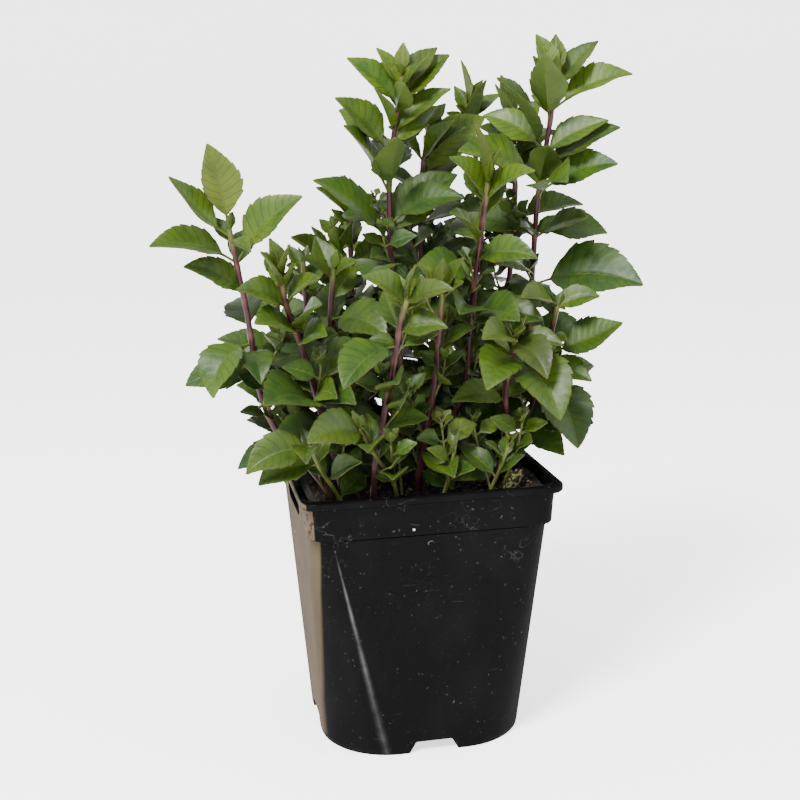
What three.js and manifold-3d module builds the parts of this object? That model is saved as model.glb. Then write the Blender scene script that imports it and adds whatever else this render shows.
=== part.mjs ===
// Potted mint: a square black plastic nursery pot, its soil, and leafy stems that stand in holes in the soil.
// Millimetres, +Z up. The origin is on the surface that the pot stands on, under the middle of the pot,
// and the pot's sides are parallel to X and Y.

import * as THREE from 'three';
import { mergeVertices } from 'three/addons/utils/BufferGeometryUtils.js';
import Module from 'manifold-3d';

const wasm = await Module();
wasm.setup();

// ---------------------------------------------------------------------------------------------------------
// Driving dimensions
// ---------------------------------------------------------------------------------------------------------

// The pot. "half" is half the distance between two opposite sides.
const POT_HEIGHT = 118;
const WALL = 1.4;
const LIP = { height: 3.3, half: 55, corner: 7, bevel: 0.8, under: 0.4 };
const BAND = { depth: 17.6, topHalf: 52.6, footHalf: 51.6, corner: 8, round: 1.6, step: 0.3 };
const INNER = { bevel: 0.5, drop: 1.5, taper: 1 };
const BODY = { topHalf: 51.2, topCorner: 15, footHalf: 44.5, footCorner: 30 };
const FOOT_RING = 2.4;
const FLOOR = { under: 5.2, over: 6.8 };
const NOTCH = { height: 5.2, topHalf: 8.4, footHalf: 10.9 };
const SLOT = { length: 36, foot: 101, top: 110.6 };
const DRAIN = { radius: 4, reach: 24 };
const CENTRE_FOOT = { radius: 7, topRadius: 9 };
const CORNER_STEPS = 4;

// The gap kept between pieces that touch, and how near two corners are taken to be one.
const GAP = 0.4;
const WELD = 0.004;

// The soil. It has shrunk away from the wall behind each slot, which leaves a trough there.
const SOIL_TOP = 107;
const SOIL_ROUGHNESS = 1.2;
const SOIL_EDGE = 0.6;
const TROUGH = { foot: 99, width: 5, length: 44 };
const HOLE_FOOT = 95;

// A stem has four sides, as mint has, and is thinner at its tip.
const STEM_FOOT = 95.6;
const STEM_RADIUS = { foot: 2.1, tip: 1.45 };
const SHOOT_RADIUS = { foot: 1.3, tip: 0.8 };
const HOLE_CLEARANCE = 1;
// The rise of the direction that a stem's side faces. It is never quite level, so no stem lies along it.
const LEVEL = 0.001;

// A leaf: half the thickness of its blade, its stalk, the rise of its two halves, and its margin's teeth.
const HALF_BLADE = 0.33;
const ROOT_START = 0.5;
const STALK = { share: 0.15, least: 1.6, half: 0.65 };
const FOLD = 0.34;
const TOOTH = { step: 0.045, out: 1.05, back: 0.84 };
// The lengths from which a leaf's margin has one tooth and two teeth on each side.
const LEAST_TOOTHED = [22, 32];

// Leaves grow in pairs, each pair turned a quarter from the last. The lists run from the tip downwards.
const PAIR_GAP = [2, 5, 9, 13, 16, 18, 19, 20, 20, 20];
const PAIR_LENGTH = [10, 17, 25, 31, 35, 35, 31, 27, 24, 22];
const PAIR_WIDTH = [0.44, 0.46, 0.48, 0.5, 0.52, 0.55, 0.58, 0.6, 0.64, 0.66];
const PAIR_RISE = [76, 64, 54, 45, 36, 28, 20, 12, 6, 0];
const PAIR_DROOP = [5, 15, 25, 32, 40, 46, 50, 54, 55, 50];
const PAIR_SPREAD = { length: 0.12, turn: 14, rise: 8, droop: 10, roll: 16 };
// The pairs at the very tip, whose leaves may lie against each other.
const CROWDED_PAIRS = 2;
// The share of each pair's leaves that are left on the stem.
const PAIR_SHARE = [0.12, 0.12, 0.16, 0.22, 0.28, 0.31, 0.33, 0.31, 0.28, 0.22];
// A stem with no leaf placed by hand keeps more of them.
const UNPLACED_SHARE = 1.6;
const LOWEST_ROOT = SOIL_TOP + 5;

// A leaf placed by hand: its width as a share of its length, where its tip is high or low, and its roll.
const PLACED = { highWidth: 0.5, lowWidth: 0.6, highTip: 200, roll: 12 };

// A small leaf from a side bud stands between the leaves of a lower pair.
const BUD = { firstPair: 4, share: 0.08, length: 15, width: 0.6, rise: 36, droop: 40 };
const BUD_SPREAD = { length: 0.25, turn: 25, rise: 14, droop: 14, roll: 16 };

// Leaves roll about their midribs to face the light: where it comes from, and how far they roll at most.
const LIGHT = { from: [-0.25, -0.8, 0.55], roll: 50 };

// A leaf that would touch another, or the pot, is turned, raised or made smaller: turn, rise, size.
const TRIES = [
  [0, 0, 1], [14, 6, 1], [-14, 6, 1], [0, 16, 0.95], [26, -6, 0.9], [-26, -6, 0.9], [0, -16, 0.85],
  [20, 24, 0.8], [-20, 24, 0.8], [40, 10, 0.75], [-40, 10, 0.75], [0, 34, 0.7], [0, 0, 0.6],
  [30, 20, 0.55], [-30, 20, 0.55],
];
const CLEARANCE = { face: 0.5, edge: 0.7, stem: 0.6, root: 2.6 };
const POT_CLEARANCE = { wall: 6, rim: 1.5, soil: 2.5 };

// ---------------------------------------------------------------------------------------------------------
// The stems, chosen by hand
// ---------------------------------------------------------------------------------------------------------

// route runs from the soil to the tip. turn is the direction of the first pair, in degrees from +X.
// size scales the pairs' lengths and gaps. tips are the leaves placed by hand: the distance down from the
// stem's tip, the place of the leaf's own tip, and how far the leaf bends down from stalk to tip, in degrees.
const STEMS = [
  {
    name: 'stem_left_tall', turn: 80, size: 1,
    route: [
      [-36, -8, 107], [-46, -8, 121], [-60, -9, 138], [-66, -11, 155], [-70, -14, 190], [-76, -18, 224],
    ],
    tips: [
      [1, -83, -15, 258, 8], [3, -99, -25, 246, -25], [4, -69, -31, 216, 30], [14, -108, -24, 219, 48],
      [14, -47, -25, 237, 30], [28, -95, -20, 210, 55], [49, -86, -26, 157, 100], [52, -67, -32, 163, 70],
    ],
  },
  {
    name: 'stem_left_front', turn: 20, size: 0.85,
    route: [
      [-26, -20, 107], [-36, -21, 126], [-43, -24, 152], [-48, -26, 172], [-56, -29, 195], [-57, -30, 206],
    ],
    tips: [
      [1, -61, -28, 221, 10], [2, -54, -35, 219, 15], [6, -66, -39, 217, 25], [13, -76, -42, 203, 40],
      [13, -43, -40, 206, 60], [26, -70, -46, 190, 45], [30, -42, -47, 184, 50], [60, -76, -48, 155, 55],
    ],
  },
  {
    name: 'stem_left_middle', turn: 10, size: 0.9,
    route: [[-31, -4, 107], [-34, -3, 140], [-34, 0, 165], [-33, 1, 190], [-31, 2, 204]],
    tips: [[4, -46, -5, 210, 35], [4, -22, -9, 208, 35], [6, -37, 14, 217, 20], [22, -14, -26, 178, 60]],
  },
  {
    name: 'stem_back_left', turn: 90, size: 0.95,
    route: [[-14, 20, 107], [-18, 25, 145], [-19, 30, 186], [-18, 35, 224]],
    tips: [[1, -34, 28, 237, 20], [1, -9, 25, 229, 30], [2, -21, 30, 242, 10]],
  },
  {
    name: 'stem_centre_tall', turn: 60, size: 1,
    route: [[0, 10, 107], [0, 9, 143], [-3, 7, 178], [-6, 5, 214], [-6, 4, 245], [0, 2, 284]],
    tips: [
      [1, 1, 4, 297, 5], [6, -10, 6, 295, 12], [6, 16, 6, 295, 12], [12, -23, 4, 291, 25],
      [12, 21, 5, 292, 20], [24, -14, -8, 279, 20], [24, 20, -1, 278, 25], [34, -29, 0, 275, 25],
      [36, 17, 12, 271, 30], [50, -27, -8, 264, 25], [50, -8, -20, 259, 20], [72, -40, -6, 242, 40],
      [72, 25, 8, 242, 50],
    ],
  },
  {
    name: 'stem_centre_back', turn: 110, size: 1,
    route: [[18, 24, 107], [16, 21, 140], [17, 21, 168], [11, 20, 202], [11, 18, 240], [15, 18, 263]],
    tips: [
      [2, 14, 16, 274, 10], [3, 23, 21, 272, 20], [16, -4, 10, 261, 25], [18, 29, 8, 262, 30],
      [26, 42, 25, 266, 40],
    ],
  },
  {
    name: 'stem_front', turn: 100, size: 0.9,
    route: [[-23, -33, 107], [-21, -36, 133], [-16, -41, 162], [-12, -46, 189], [-10, -48, 197]],
    tips: [
      [3, -29, -57, 208, 40], [3, 6, -60, 202, 45], [1, -7, -51, 211, 5], [6, -15, -36, 208, 20],
      [15, 5, -54, 186, 50], [20, -38, -60, 165, 60],
    ],
  },
  {
    name: 'stem_right_front', turn: 40, size: 1,
    route: [
      [20, 8, 107], [20, 5, 130], [26, 1, 148], [27, -6, 178], [28, -10, 200], [30, -18, 231], [31, -20, 240],
    ],
    tips: [
      [2, 24, -24, 265, 8], [3, 34, -27, 254, 15], [8, 12, -30, 251, 30], [8, 46, -36, 245, 40],
      [10, 27, -4, 250, 20], [26, 12, -30, 229, 30], [34, 49, -31, 209, 50], [60, 6, -35, 185, 60],
      [62, 40, -36, 184, 60],
    ],
  },
  {
    name: 'stem_right_tall', turn: 70, size: 1.1,
    route: [
      [40, 26, 107], [46, 25, 118], [55, 23, 126], [60, 19, 145], [60, 12, 193], [60, 5, 230], [64, -1, 266],
      [65, -4, 282],
    ],
    tips: [
      [1, 58, 2, 300, 5], [1, 67, 3, 300, 5], [6, 85, 0, 297, 20], [14, 97, -10, 283, 35],
      [20, 55, -18, 291, 5], [40, 92, -10, 261, 35], [50, 89, -16, 246, 40], [46, 24, -20, 248, 40],
      [52, 60, -35, 240, 50], [70, 75, -18, 224, 25], [92, 101, -18, 194, 45], [90, 34, -20, 206, 60],
      [33, 36, -14, 282, 30],
    ],
  },
  {
    name: 'stem_right_low', turn: 30, size: 0.9,
    route: [[39, 0, 107], [44, -1, 115], [52, -4, 127], [58, -10, 155], [61, -16, 179], [62, -18, 187]],
    tips: [
      [2, 79, -24, 191, 50], [2, 42, -30, 193, 50], [22, 88, -28, 180, -20], [28, 75, -27, 155, 20],
      [34, 66, -36, 128, 60], [58, 64, -24, 122, 20],
    ],
  },
  {
    name: 'stem_front_right', turn: 15, size: 0.85,
    route: [[34, -10, 107], [42, -11, 126], [39, -17, 152], [40, -26, 168], [38, -36, 177]],
    tips: [
      [1, 39, -46, 183, 10], [3, 20, -50, 180, 50], [4, 46, -54, 163, 70], [8, 57, -42, 174, 50],
      [14, 22, -50, 159, 60], [16, 51, -56, 146, 70],
    ],
  },
  {
    name: 'stem_back_right_tall', turn: 45, size: 1,
    route: [[32, 40, 107], [38, 40, 135], [43, 39, 168], [45, 40, 201], [42, 42, 251], [39, 42, 272]],
    tips: [
      [2, 35, 40, 291, 8], [4, 43, 32, 282, 20], [8, 55, 44, 276, 30], [12, 30, 30, 271, 25],
      [15, 43, 27, 282, 20],
    ],
  },
  {
    name: 'stem_back_right_inner', turn: 0, size: 1,
    route: [[25, 31, 107], [40, 30, 140], [50, 28, 165], [54, 26, 195], [56, 24, 235], [53, 23, 264]],
    tips: [
      [1, 49, 24, 284, 5], [4, 54, 13, 276, 15], [12, 69, 28, 273, 35], [4, 44, 16, 280, 10],
      [20, 35, 8, 262, 40], [24, 66, 8, 250, 50],
    ],
  },
  {
    name: 'stem_back_far_left', turn: 70, size: 0.85,
    route: [[-20, 36, 107], [-21, 38, 138], [-24, 41, 171], [-28, 44, 203]],
    tips: [[2, -45, 35, 215, 30], [2, -35, 40, 219, 15], [4, -20, 50, 214, 30]],
  },
  {
    name: 'stem_front_middle', turn: 35, size: 0.8,
    route: [[1, -12, 107], [4, -16, 135], [8, -20, 158], [9, -25, 184], [9, -29, 196]],
    tips: [[1, 8, -34, 211, 5], [3, 15, -40, 202, 20], [3, -2, -31, 209, 20], [5, 20, -34, 210, 30]],
  },
  {
    name: 'stem_back_edge_left', turn: 20, size: 0.9, tips: [],
    route: [[-34, 30, 107], [-46, 36, 130], [-52, 39, 165], [-51, 42, 200]],
  },
  {
    name: 'stem_back_edge', turn: 65, size: 0.95, tips: [],
    route: [[4, 41, 107], [2, 47, 145], [4, 52, 185], [6, 54, 222]],
  },
  {
    name: 'stem_left_inner', turn: 55, size: 0.85, tips: [],
    route: [[-30, 13, 107], [-37, 15, 140], [-41, 17, 175], [-42, 18, 206]],
  },
  {
    name: 'stem_back_corner', turn: 15, size: 0.9, tips: [],
    route: [[18, 42, 107], [24, 48, 140], [26, 56, 180], [24, 62, 214]],
  },
  {
    name: 'shoot_front_left', turn: 215, size: 0.7, low: true,
    route: [[-34, -34, 107], [-39, -38, 118], [-46, -43, 129], [-50, -47, 140]],
    tips: [[2, -76, -50, 131, 60], [10, -71, -46, 125, 40], [2, -54, -66, 138, 60]],
  },
  {
    name: 'shoot_front', turn: 250, size: 0.7, low: true,
    route: [[-12, -36, 107], [-15, -41, 122], [-24, -46, 134], [-30, -49, 146]],
    tips: [[4, -53, -62, 145, 60], [12, -30, -66, 141, 60]],
  },
  {
    name: 'shoot_front_centre', turn: 200, size: 0.6, low: true, tips: [],
    route: [[6, -34, 107], [9, -40, 122], [10, -45, 136]],
  },
  {
    name: 'shoot_front_right', turn: 225, size: 0.6, low: true, tips: [],
    route: [[26, -33, 107], [31, -38, 122], [34, -42, 134]],
  },
  {
    name: 'shoot_left', turn: 170, size: 0.7, low: true, tips: [],
    route: [[-38, 8, 107], [-45, 10, 121], [-56, 13, 140], [-62, 14, 158]],
  },
  {
    name: 'shoot_right', turn: 345, size: 0.75, low: true, tips: [],
    route: [[41, 12, 107], [46, 13, 119], [58, 14, 136], [66, 13, 154]],
  },
  {
    name: 'shoot_back', turn: 80, size: 0.7, low: true, tips: [],
    route: [[-8, 38, 107], [-12, 48, 126], [-14, 58, 150]],
  },
];

const RADIAN = Math.PI / 180;

function radiusOf(stem) {
  return stem.low ? SHOOT_RADIUS : STEM_RADIUS;
}

// ---------------------------------------------------------------------------------------------------------
// Solids
// ---------------------------------------------------------------------------------------------------------

// A three.js geometry as a closed solid that can be joined and cut.
function solid(geometry) {
  const bare = geometry.index ? geometry.clone() : geometry;
  bare.deleteAttribute('normal');
  bare.deleteAttribute('uv');
  const merged = mergeVertices(bare, 1e-4);
  return new wasm.Manifold(new wasm.Mesh({
    numProp: 3,
    vertProperties: new Float32Array(merged.attributes.position.array),
    triVerts: new Uint32Array(merged.index.array),
  }));
}

// A closed skin of points and triangles as a solid.
function solidOf({ points, faces }) {
  const geometry = new THREE.BufferGeometry();
  geometry.setAttribute('position', new THREE.Float32BufferAttribute(points.flat(), 3));
  geometry.setIndex(faces.flat());
  return solid(geometry);
}

// The corners and triangles of a body, with corners that almost meet made one. A triangle that this closes up
// is dropped, and so are two that come to lie back to back.
function welded(body) {
  const { vertProperties, triVerts } = body.getMesh();
  const corners = [];
  const indexOf = [];
  for (let i = 0; i < vertProperties.length; i += 3) {
    const point = [vertProperties[i], vertProperties[i + 1], vertProperties[i + 2]];
    const known = corners.findIndex((corner) => (
      corner.every((value, axis) => Math.abs(value - point[axis]) < WELD)
    ));
    indexOf.push(known < 0 ? corners.push(point) - 1 : known);
  }
  const faces = new Map();
  for (let i = 0; i < triVerts.length; i += 3) {
    const face = [indexOf[triVerts[i]], indexOf[triVerts[i + 1]], indexOf[triVerts[i + 2]]];
    const key = [...face].sort((a, b) => a - b).join(',');
    if (new Set(face).size === 3 && !faces.delete(key)) {
      faces.set(key, face);
    }
  }
  return { corners, faces: [...faces.values()] };
}

function meshOf(name, body, material) {
  const { corners, faces } = welded(body);
  const geometry = new THREE.BufferGeometry();
  geometry.setAttribute('position', new THREE.Float32BufferAttribute(corners.flat(), 3));
  geometry.setIndex(faces.flat());
  geometry.computeVertexNormals();
  const mesh = new THREE.Mesh(geometry, material);
  mesh.name = name;
  return mesh;
}

// A square of half-width half with rounded corners, at height z, counter-clockwise from above.
function ring(half, corner, z) {
  const points = [];
  for (let quarter = 0; quarter < 4; quarter++) {
    const middle = (quarter + 0.5) * Math.PI / 2;
    const centreX = Math.sign(Math.cos(middle)) * (half - corner);
    const centreY = Math.sign(Math.sin(middle)) * (half - corner);
    for (let step = 0; step <= CORNER_STEPS; step++) {
      const angle = (quarter + step / CORNER_STEPS) * Math.PI / 2;
      points.push([centreX + corner * Math.cos(angle), centreY + corner * Math.sin(angle), z]);
    }
  }
  return points;
}

// Rings with the same number of points, joined in turn and closed at both ends by a fan round the axis.
function loft(rings) {
  const count = rings[0].length;
  const points = rings.flat();
  const faces = [];
  for (let level = 0; level + 1 < rings.length; level++) {
    for (let i = 0; i < count; i++) {
      const a = level * count + i;
      const b = level * count + (i + 1) % count;
      faces.push([a, b, b + count], [a, b + count, a + count]);
    }
  }
  const first = points.push([0, 0, rings[0][0][2]]) - 1;
  const lastRing = (rings.length - 1) * count;
  const last = points.push([0, 0, points[lastRing][2]]) - 1;
  for (let i = 0; i < count; i++) {
    const next = (i + 1) % count;
    faces.push([first, next, i], [last, lastRing + i, lastRing + next]);
  }
  return { points, faces };
}

function box(sizeX, sizeY, sizeZ, x, y, z) {
  return new THREE.BoxGeometry(sizeX, sizeY, sizeZ).translate(x, y, z);
}

// An upright cylinder or prism whose foot is at z.
function post(footRadius, topRadius, height, sides, x, y, z) {
  return new THREE.CylinderGeometry(topRadius, footRadius, height, sides)
    .rotateX(Math.PI / 2)
    .translate(x, y, z + height / 2);
}

// ---------------------------------------------------------------------------------------------------------
// The pot and the soil
// ---------------------------------------------------------------------------------------------------------

// The body's half-width and corner radius at height z.
function bodyAt(z) {
  const share = z / (POT_HEIGHT - BAND.depth);
  return {
    half: BODY.footHalf + (BODY.topHalf - BODY.footHalf) * share,
    corner: BODY.footCorner + (BODY.topCorner - BODY.footCorner) * share,
  };
}

// The inner face of the body at height z, moved inwards by a further inset.
function innerRing(z, inset = 0) {
  const { half, corner } = bodyAt(z);
  return ring(half - WALL - inset, corner - WALL - inset, z);
}

// One moulding: the section runs from the underside of the floor, round the foot ring, up the outside, over
// the lip and down the inside to the floor.
function potShell() {
  const bandFoot = POT_HEIGHT - BAND.depth;
  const lipFoot = POT_HEIGHT - LIP.height;
  const foot = bodyAt(0);
  const under = bodyAt(FLOOR.under);
  const inBand = BAND.topHalf - WALL;
  return loft([
    ring(under.half - FOOT_RING, under.corner - FOOT_RING, FLOOR.under),
    ring(foot.half - FOOT_RING, foot.corner - FOOT_RING, 0),
    ring(foot.half, foot.corner, 0),
    ring(BODY.topHalf, BODY.topCorner, bandFoot),
    ring(BAND.footHalf, BAND.corner, bandFoot + BAND.step),
    ring(BAND.footHalf + BAND.step, BAND.corner, bandFoot + BAND.round),
    ring(BAND.topHalf, BAND.corner, lipFoot - LIP.under),
    ring(LIP.half, LIP.corner, lipFoot),
    ring(LIP.half, LIP.corner, POT_HEIGHT - LIP.bevel),
    ring(LIP.half - LIP.bevel, LIP.corner, POT_HEIGHT),
    ring(inBand + INNER.bevel, BAND.corner - 1, POT_HEIGHT),
    ring(inBand, BAND.corner - WALL, POT_HEIGHT - INNER.drop),
    ring(inBand - INNER.taper, BAND.corner - WALL, bandFoot + BAND.round),
    innerRing(bandFoot),
    innerRing(FLOOR.over),
  ]);
}

// A drainage notch in the middle of the foot ring's side, wider at the foot.
function footNotch(quarter) {
  const below = 1;
  const widening = (NOTCH.footHalf - NOTCH.topHalf) / NOTCH.height * below;
  const outline = new THREE.Shape([
    new THREE.Vector2(-NOTCH.footHalf - widening, -below),
    new THREE.Vector2(NOTCH.footHalf + widening, -below),
    new THREE.Vector2(NOTCH.topHalf, NOTCH.height),
    new THREE.Vector2(-NOTCH.topHalf, NOTCH.height),
  ]);
  const length = 8;
  return new THREE.ExtrudeGeometry(outline, { depth: length, bevelEnabled: false })
    .rotateX(Math.PI / 2)
    .translate(0, -BODY.footHalf + length / 2, 0)
    .rotateZ(quarter * Math.PI / 2);
}

// A long slot with round ends through the band on one side.
function bandSlot(side) {
  const radius = (SLOT.top - SLOT.foot) / 2;
  const straight = SLOT.length / 2 - radius;
  const outline = new THREE.Shape();
  outline.absarc(straight, 0, radius, -Math.PI / 2, Math.PI / 2, false);
  outline.absarc(-straight, 0, radius, Math.PI / 2, Math.PI * 3 / 2, false);
  const depth = 12;
  return new THREE.ExtrudeGeometry(outline, { depth, bevelEnabled: false, curveSegments: 5 })
    .translate(0, 0, -depth / 2)
    .rotateX(Math.PI / 2)
    .rotateZ(Math.PI / 2)
    .translate(side * BAND.footHalf, 0, SLOT.foot + radius);
}

function makePot() {
  let pot = solidOf(potShell());
  pot = pot.add(solid(post(CENTRE_FOOT.radius, CENTRE_FOOT.topRadius, FLOOR.under + 0.5, 12, 0, 0, 0)));
  for (let quarter = 0; quarter < 4; quarter++) {
    pot = pot.subtract(solid(footNotch(quarter)));
    const angle = (quarter + 0.5) * Math.PI / 2;
    const x = DRAIN.reach * Math.cos(angle);
    const y = DRAIN.reach * Math.sin(angle);
    pot = pot.subtract(solid(post(DRAIN.radius, DRAIN.radius, 4, 10, x, y, FLOOR.under - 1)));
  }
  for (const side of [-1, 1]) {
    pot = pot.subtract(solid(bandSlot(side)));
  }
  return pot;
}

// The soil's uneven top.
function soilTop(x, y) {
  const wave = Math.sin(x * 0.21 + 1) * Math.cos(y * 0.17) + 0.6 * Math.sin(x * 0.09 - y * 0.13);
  return SOIL_TOP + SOIL_ROUGHNESS * wave / 1.6;
}

function makeSoil() {
  const bandFoot = POT_HEIGHT - BAND.depth;
  const inBand = BAND.topHalf - WALL - INNER.taper - GAP;
  const half = inBand - SOIL_EDGE;
  const corner = BODY.topCorner - WALL - GAP;
  const rings = [
    innerRing(FLOOR.over + GAP, GAP),
    innerRing(bandFoot - 1, GAP),
    ring(half, corner, bandFoot + 3),
  ];
  for (const share of [1, 0.6]) {
    rings.push(ring(half * share, corner * share, 0).map(([x, y]) => [x, y, soilTop(x, y)]));
  }
  let soil = solidOf(loft(rings));
  for (const side of [-1, 1]) {
    const height = POT_HEIGHT - TROUGH.foot;
    const x = side * (inBand + 1 - TROUGH.width / 2);
    soil = soil.subtract(solid(box(TROUGH.width + 2, TROUGH.length, height, x, 0, TROUGH.foot + height / 2)));
  }
  for (const stem of STEMS) {
    const [x, y] = stem.route[0];
    const radius = radiusOf(stem).foot + HOLE_CLEARANCE;
    const hole = post(radius, radius, POT_HEIGHT - HOLE_FOOT, 4, 0, 0, HOLE_FOOT);
    soil = soil.subtract(solid(hole.rotateZ((stem.turn + 45) * RADIAN).translate(x, y, 0)));
  }
  return soil;
}

// ---------------------------------------------------------------------------------------------------------
// Vectors and routes
// ---------------------------------------------------------------------------------------------------------

function add(a, b, scale = 1) {
  return [a[0] + b[0] * scale, a[1] + b[1] * scale, a[2] + b[2] * scale];
}

function subtract(a, b) {
  return add(a, b, -1);
}

function scaled(a, scale) {
  return [a[0] * scale, a[1] * scale, a[2] * scale];
}

function dot(a, b) {
  return a[0] * b[0] + a[1] * b[1] + a[2] * b[2];
}

function cross(a, b) {
  return [a[1] * b[2] - a[2] * b[1], a[2] * b[0] - a[0] * b[2], a[0] * b[1] - a[1] * b[0]];
}

function unit(a) {
  return scaled(a, 1 / Math.sqrt(dot(a, a)));
}

// The point of a line that lies a distance down from its last point.
function downFromTip(line, distance) {
  let left = distance;
  for (let i = line.length - 1; i > 0; i--) {
    const step = subtract(line[i - 1], line[i]);
    const length = Math.sqrt(dot(step, step));
    if (left <= length) {
      return add(line[i], step, left / length);
    }
    left -= length;
  }
  return null;
}

// ---------------------------------------------------------------------------------------------------------
// Stems and leaves as skins of points and triangles
// ---------------------------------------------------------------------------------------------------------

// A four-sided bar along a line, one side facing the turn, tapering from foot to tip.
function bar(line, footRadius, tipRadius, turn) {
  const points = [];
  const faces = [];
  const towards = [Math.cos(turn * RADIAN), Math.sin(turn * RADIAN), LEVEL];
  line.forEach((point, i) => {
    const along = unit(subtract(line[Math.min(i + 1, line.length - 1)], line[Math.max(i - 1, 0)]));
    const across = unit(add(towards, along, -dot(towards, along)));
    const beside = cross(along, across);
    const radius = (footRadius + (tipRadius - footRadius) * i / (line.length - 1)) * Math.SQRT1_2;
    for (const [u, v] of [[1, 1], [-1, 1], [-1, -1], [1, -1]]) {
      points.push(add(add(point, across, radius * u), beside, radius * v));
    }
  });
  for (let i = 0; i + 1 < line.length; i++) {
    for (let side = 0; side < 4; side++) {
      const a = i * 4 + side;
      const b = i * 4 + (side + 1) % 4;
      faces.push([a, b, b + 4], [a, b + 4, a + 4]);
    }
  }
  const top = points.length - 4;
  faces.push([0, 2, 1], [0, 3, 2], [top, top + 1, top + 2], [top, top + 2, top + 3]);
  return { points, faces };
}

// How wide a blade is, as a share of its greatest width, from its base (0) to its tip (1).
function breadth(t) {
  return Math.pow(Math.sin(Math.PI * Math.pow(t, 0.78)), 0.82);
}

// One side of a blade's outline, as pairs of place along the blade and width.
function margin(teeth) {
  if (teeth === 0) {
    return [[0.3, breadth(0.3)], [0.68, breadth(0.68)]];
  }
  const side = teeth === 1 ? [[0.26, breadth(0.26)]] : [[0.13, breadth(0.13)]];
  for (let tooth = 1; tooth <= teeth; tooth++) {
    const t = 0.16 + (teeth === 1 ? 0.5 : 0.68 * tooth / (teeth + 0.35));
    side.push([t, breadth(t) * TOOTH.out], [t + TOOTH.step, breadth(t + TOOTH.step) * TOOTH.back]);
  }
  return side;
}

// A leaf's middle surface: a stalk, then a folded blade on an arched midrib. root is on the stem's axis, rise
// and droop are in degrees, and length runs from root to tip. Only a leaf with several teeth has a stalk.
// The surface can be made wider all round, and begin a distance out from the root.
function leafSheet(leaf, wider = 0, begin = 0) {
  const rise = leaf.rise * RADIAN;
  const droop = (Math.abs(leaf.droop) < 1 ? 1 : leaf.droop) * RADIAN;
  const turn = leaf.turn * RADIAN;
  const length = leaf.length + wider;
  const forward = [Math.cos(turn), Math.sin(turn), 0];
  const left = [-Math.sin(turn), Math.cos(turn), 0];
  const up = [0, 0, 1];
  const points = [];
  const normals = [];
  const put = (share, width) => {
    const angle = rise - droop * share;
    const reach = length / droop * (Math.sin(rise) - Math.sin(angle));
    const height = length / droop * (Math.cos(angle) - Math.cos(rise));
    const normal = add(scaled(up, Math.cos(angle)), forward, -Math.sin(angle));
    const beside = add(scaled(left, Math.cos(leaf.roll)), normal, Math.sin(leaf.roll));
    const facing = add(scaled(normal, Math.cos(leaf.roll)), left, -Math.sin(leaf.roll));
    const middle = add(add(leaf.root, forward, reach), up, height);
    const side = add(middle, beside, width * Math.cos(FOLD));
    points.push(add(side, facing, Math.abs(width) * Math.sin(FOLD)));
    normals.push(facing);
    return points.length - 1;
  };
  const stalk = leaf.teeth > 1 ? STALK.share + STALK.least / leaf.length : begin / leaf.length;
  const blade = (t) => stalk + (1 - stalk) * t;
  const half = leaf.width / 2 + wider;
  const stalkHalf = STALK.half + wider;
  let baseLeft = put(begin / leaf.length, stalkHalf);
  let baseRight = put(begin / leaf.length, -stalkHalf);
  const faces = [];
  if (leaf.teeth > 1) {
    const rootLeft = baseLeft;
    const rootRight = baseRight;
    baseLeft = put(stalk, stalkHalf);
    baseRight = put(stalk, -stalkHalf);
    faces.push([rootLeft, rootRight, baseRight], [rootLeft, baseRight, baseLeft]);
  }
  const middles = (leaf.teeth > 1 ? [0.3, 0.68] : [0.5]).map((t) => [t, put(blade(t), 0)]);
  const tip = put(1, 0);
  faces.push([baseLeft, baseRight, middles[0][1]]);
  for (const hand of [1, -1]) {
    const side = margin(leaf.teeth).map(([t, width]) => [t, put(blade(t), hand * half * width)]);
    side.unshift([0, hand > 0 ? baseLeft : baseRight]);
    side.push([1, tip]);
    const turned = (a, b, c) => faces.push(hand > 0 ? [b, a, c] : [a, b, c]);
    let m = 0;
    for (let i = 0; i + 1 < side.length; i++) {
      while (m + 1 < middles.length && (middles[m][0] + middles[m + 1][0]) / 2 < side[i][0]) {
        turned(side[i][1], middles[m + 1][1], middles[m][1]);
        m += 1;
      }
      turned(side[i][1], side[i + 1][1], middles[m][1]);
    }
  }
  return { points, normals, faces };
}

// A sheet given a thickness, as a closed skin whose two faces are split alike.
function thicken({ points, normals, faces }, half) {
  const count = points.length;
  const upper = points.map((point, i) => add(point, normals[i], half));
  const lower = points.map((point, i) => add(point, normals[i], -half));
  const edges = new Set(faces.flatMap(([a, b, c]) => [`${a},${b}`, `${b},${c}`, `${c},${a}`]));
  const rim = [];
  for (const edge of edges) {
    const [a, b] = edge.split(',').map(Number);
    if (!edges.has(`${b},${a}`)) {
      rim.push([b, a, a + count], [b, a + count, b + count]);
    }
  }
  const under = faces.map(([a, b, c]) => [c + count, b + count, a + count]);
  return { points: [...upper, ...lower], faces: [...faces, ...under, ...rim] };
}

// ---------------------------------------------------------------------------------------------------------
// Growing the leaves clear of each other
// ---------------------------------------------------------------------------------------------------------

let seed = 20261;

function random() {
  seed = (seed * 48271) % 2147483647;
  return seed / 2147483647;
}

function spread(amount) {
  return (random() * 2 - 1) * amount;
}

// Whether the straight edge from p to q passes through the triangle a, b, c.
function pierces(p, q, a, b, c) {
  const along = subtract(q, p);
  const side1 = subtract(b, a);
  const side2 = subtract(c, a);
  const h = cross(along, side2);
  const det = dot(side1, h);
  if (Math.abs(det) < 1e-9) {
    return false;
  }
  const s = subtract(p, a);
  const u = dot(s, h) / det;
  if (u < 0 || u > 1) {
    return false;
  }
  const r = cross(s, side1);
  const v = dot(along, r) / det;
  if (v < 0 || u + v > 1) {
    return false;
  }
  const t = dot(side2, r) / det;
  return t >= 0 && t <= 1;
}

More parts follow.
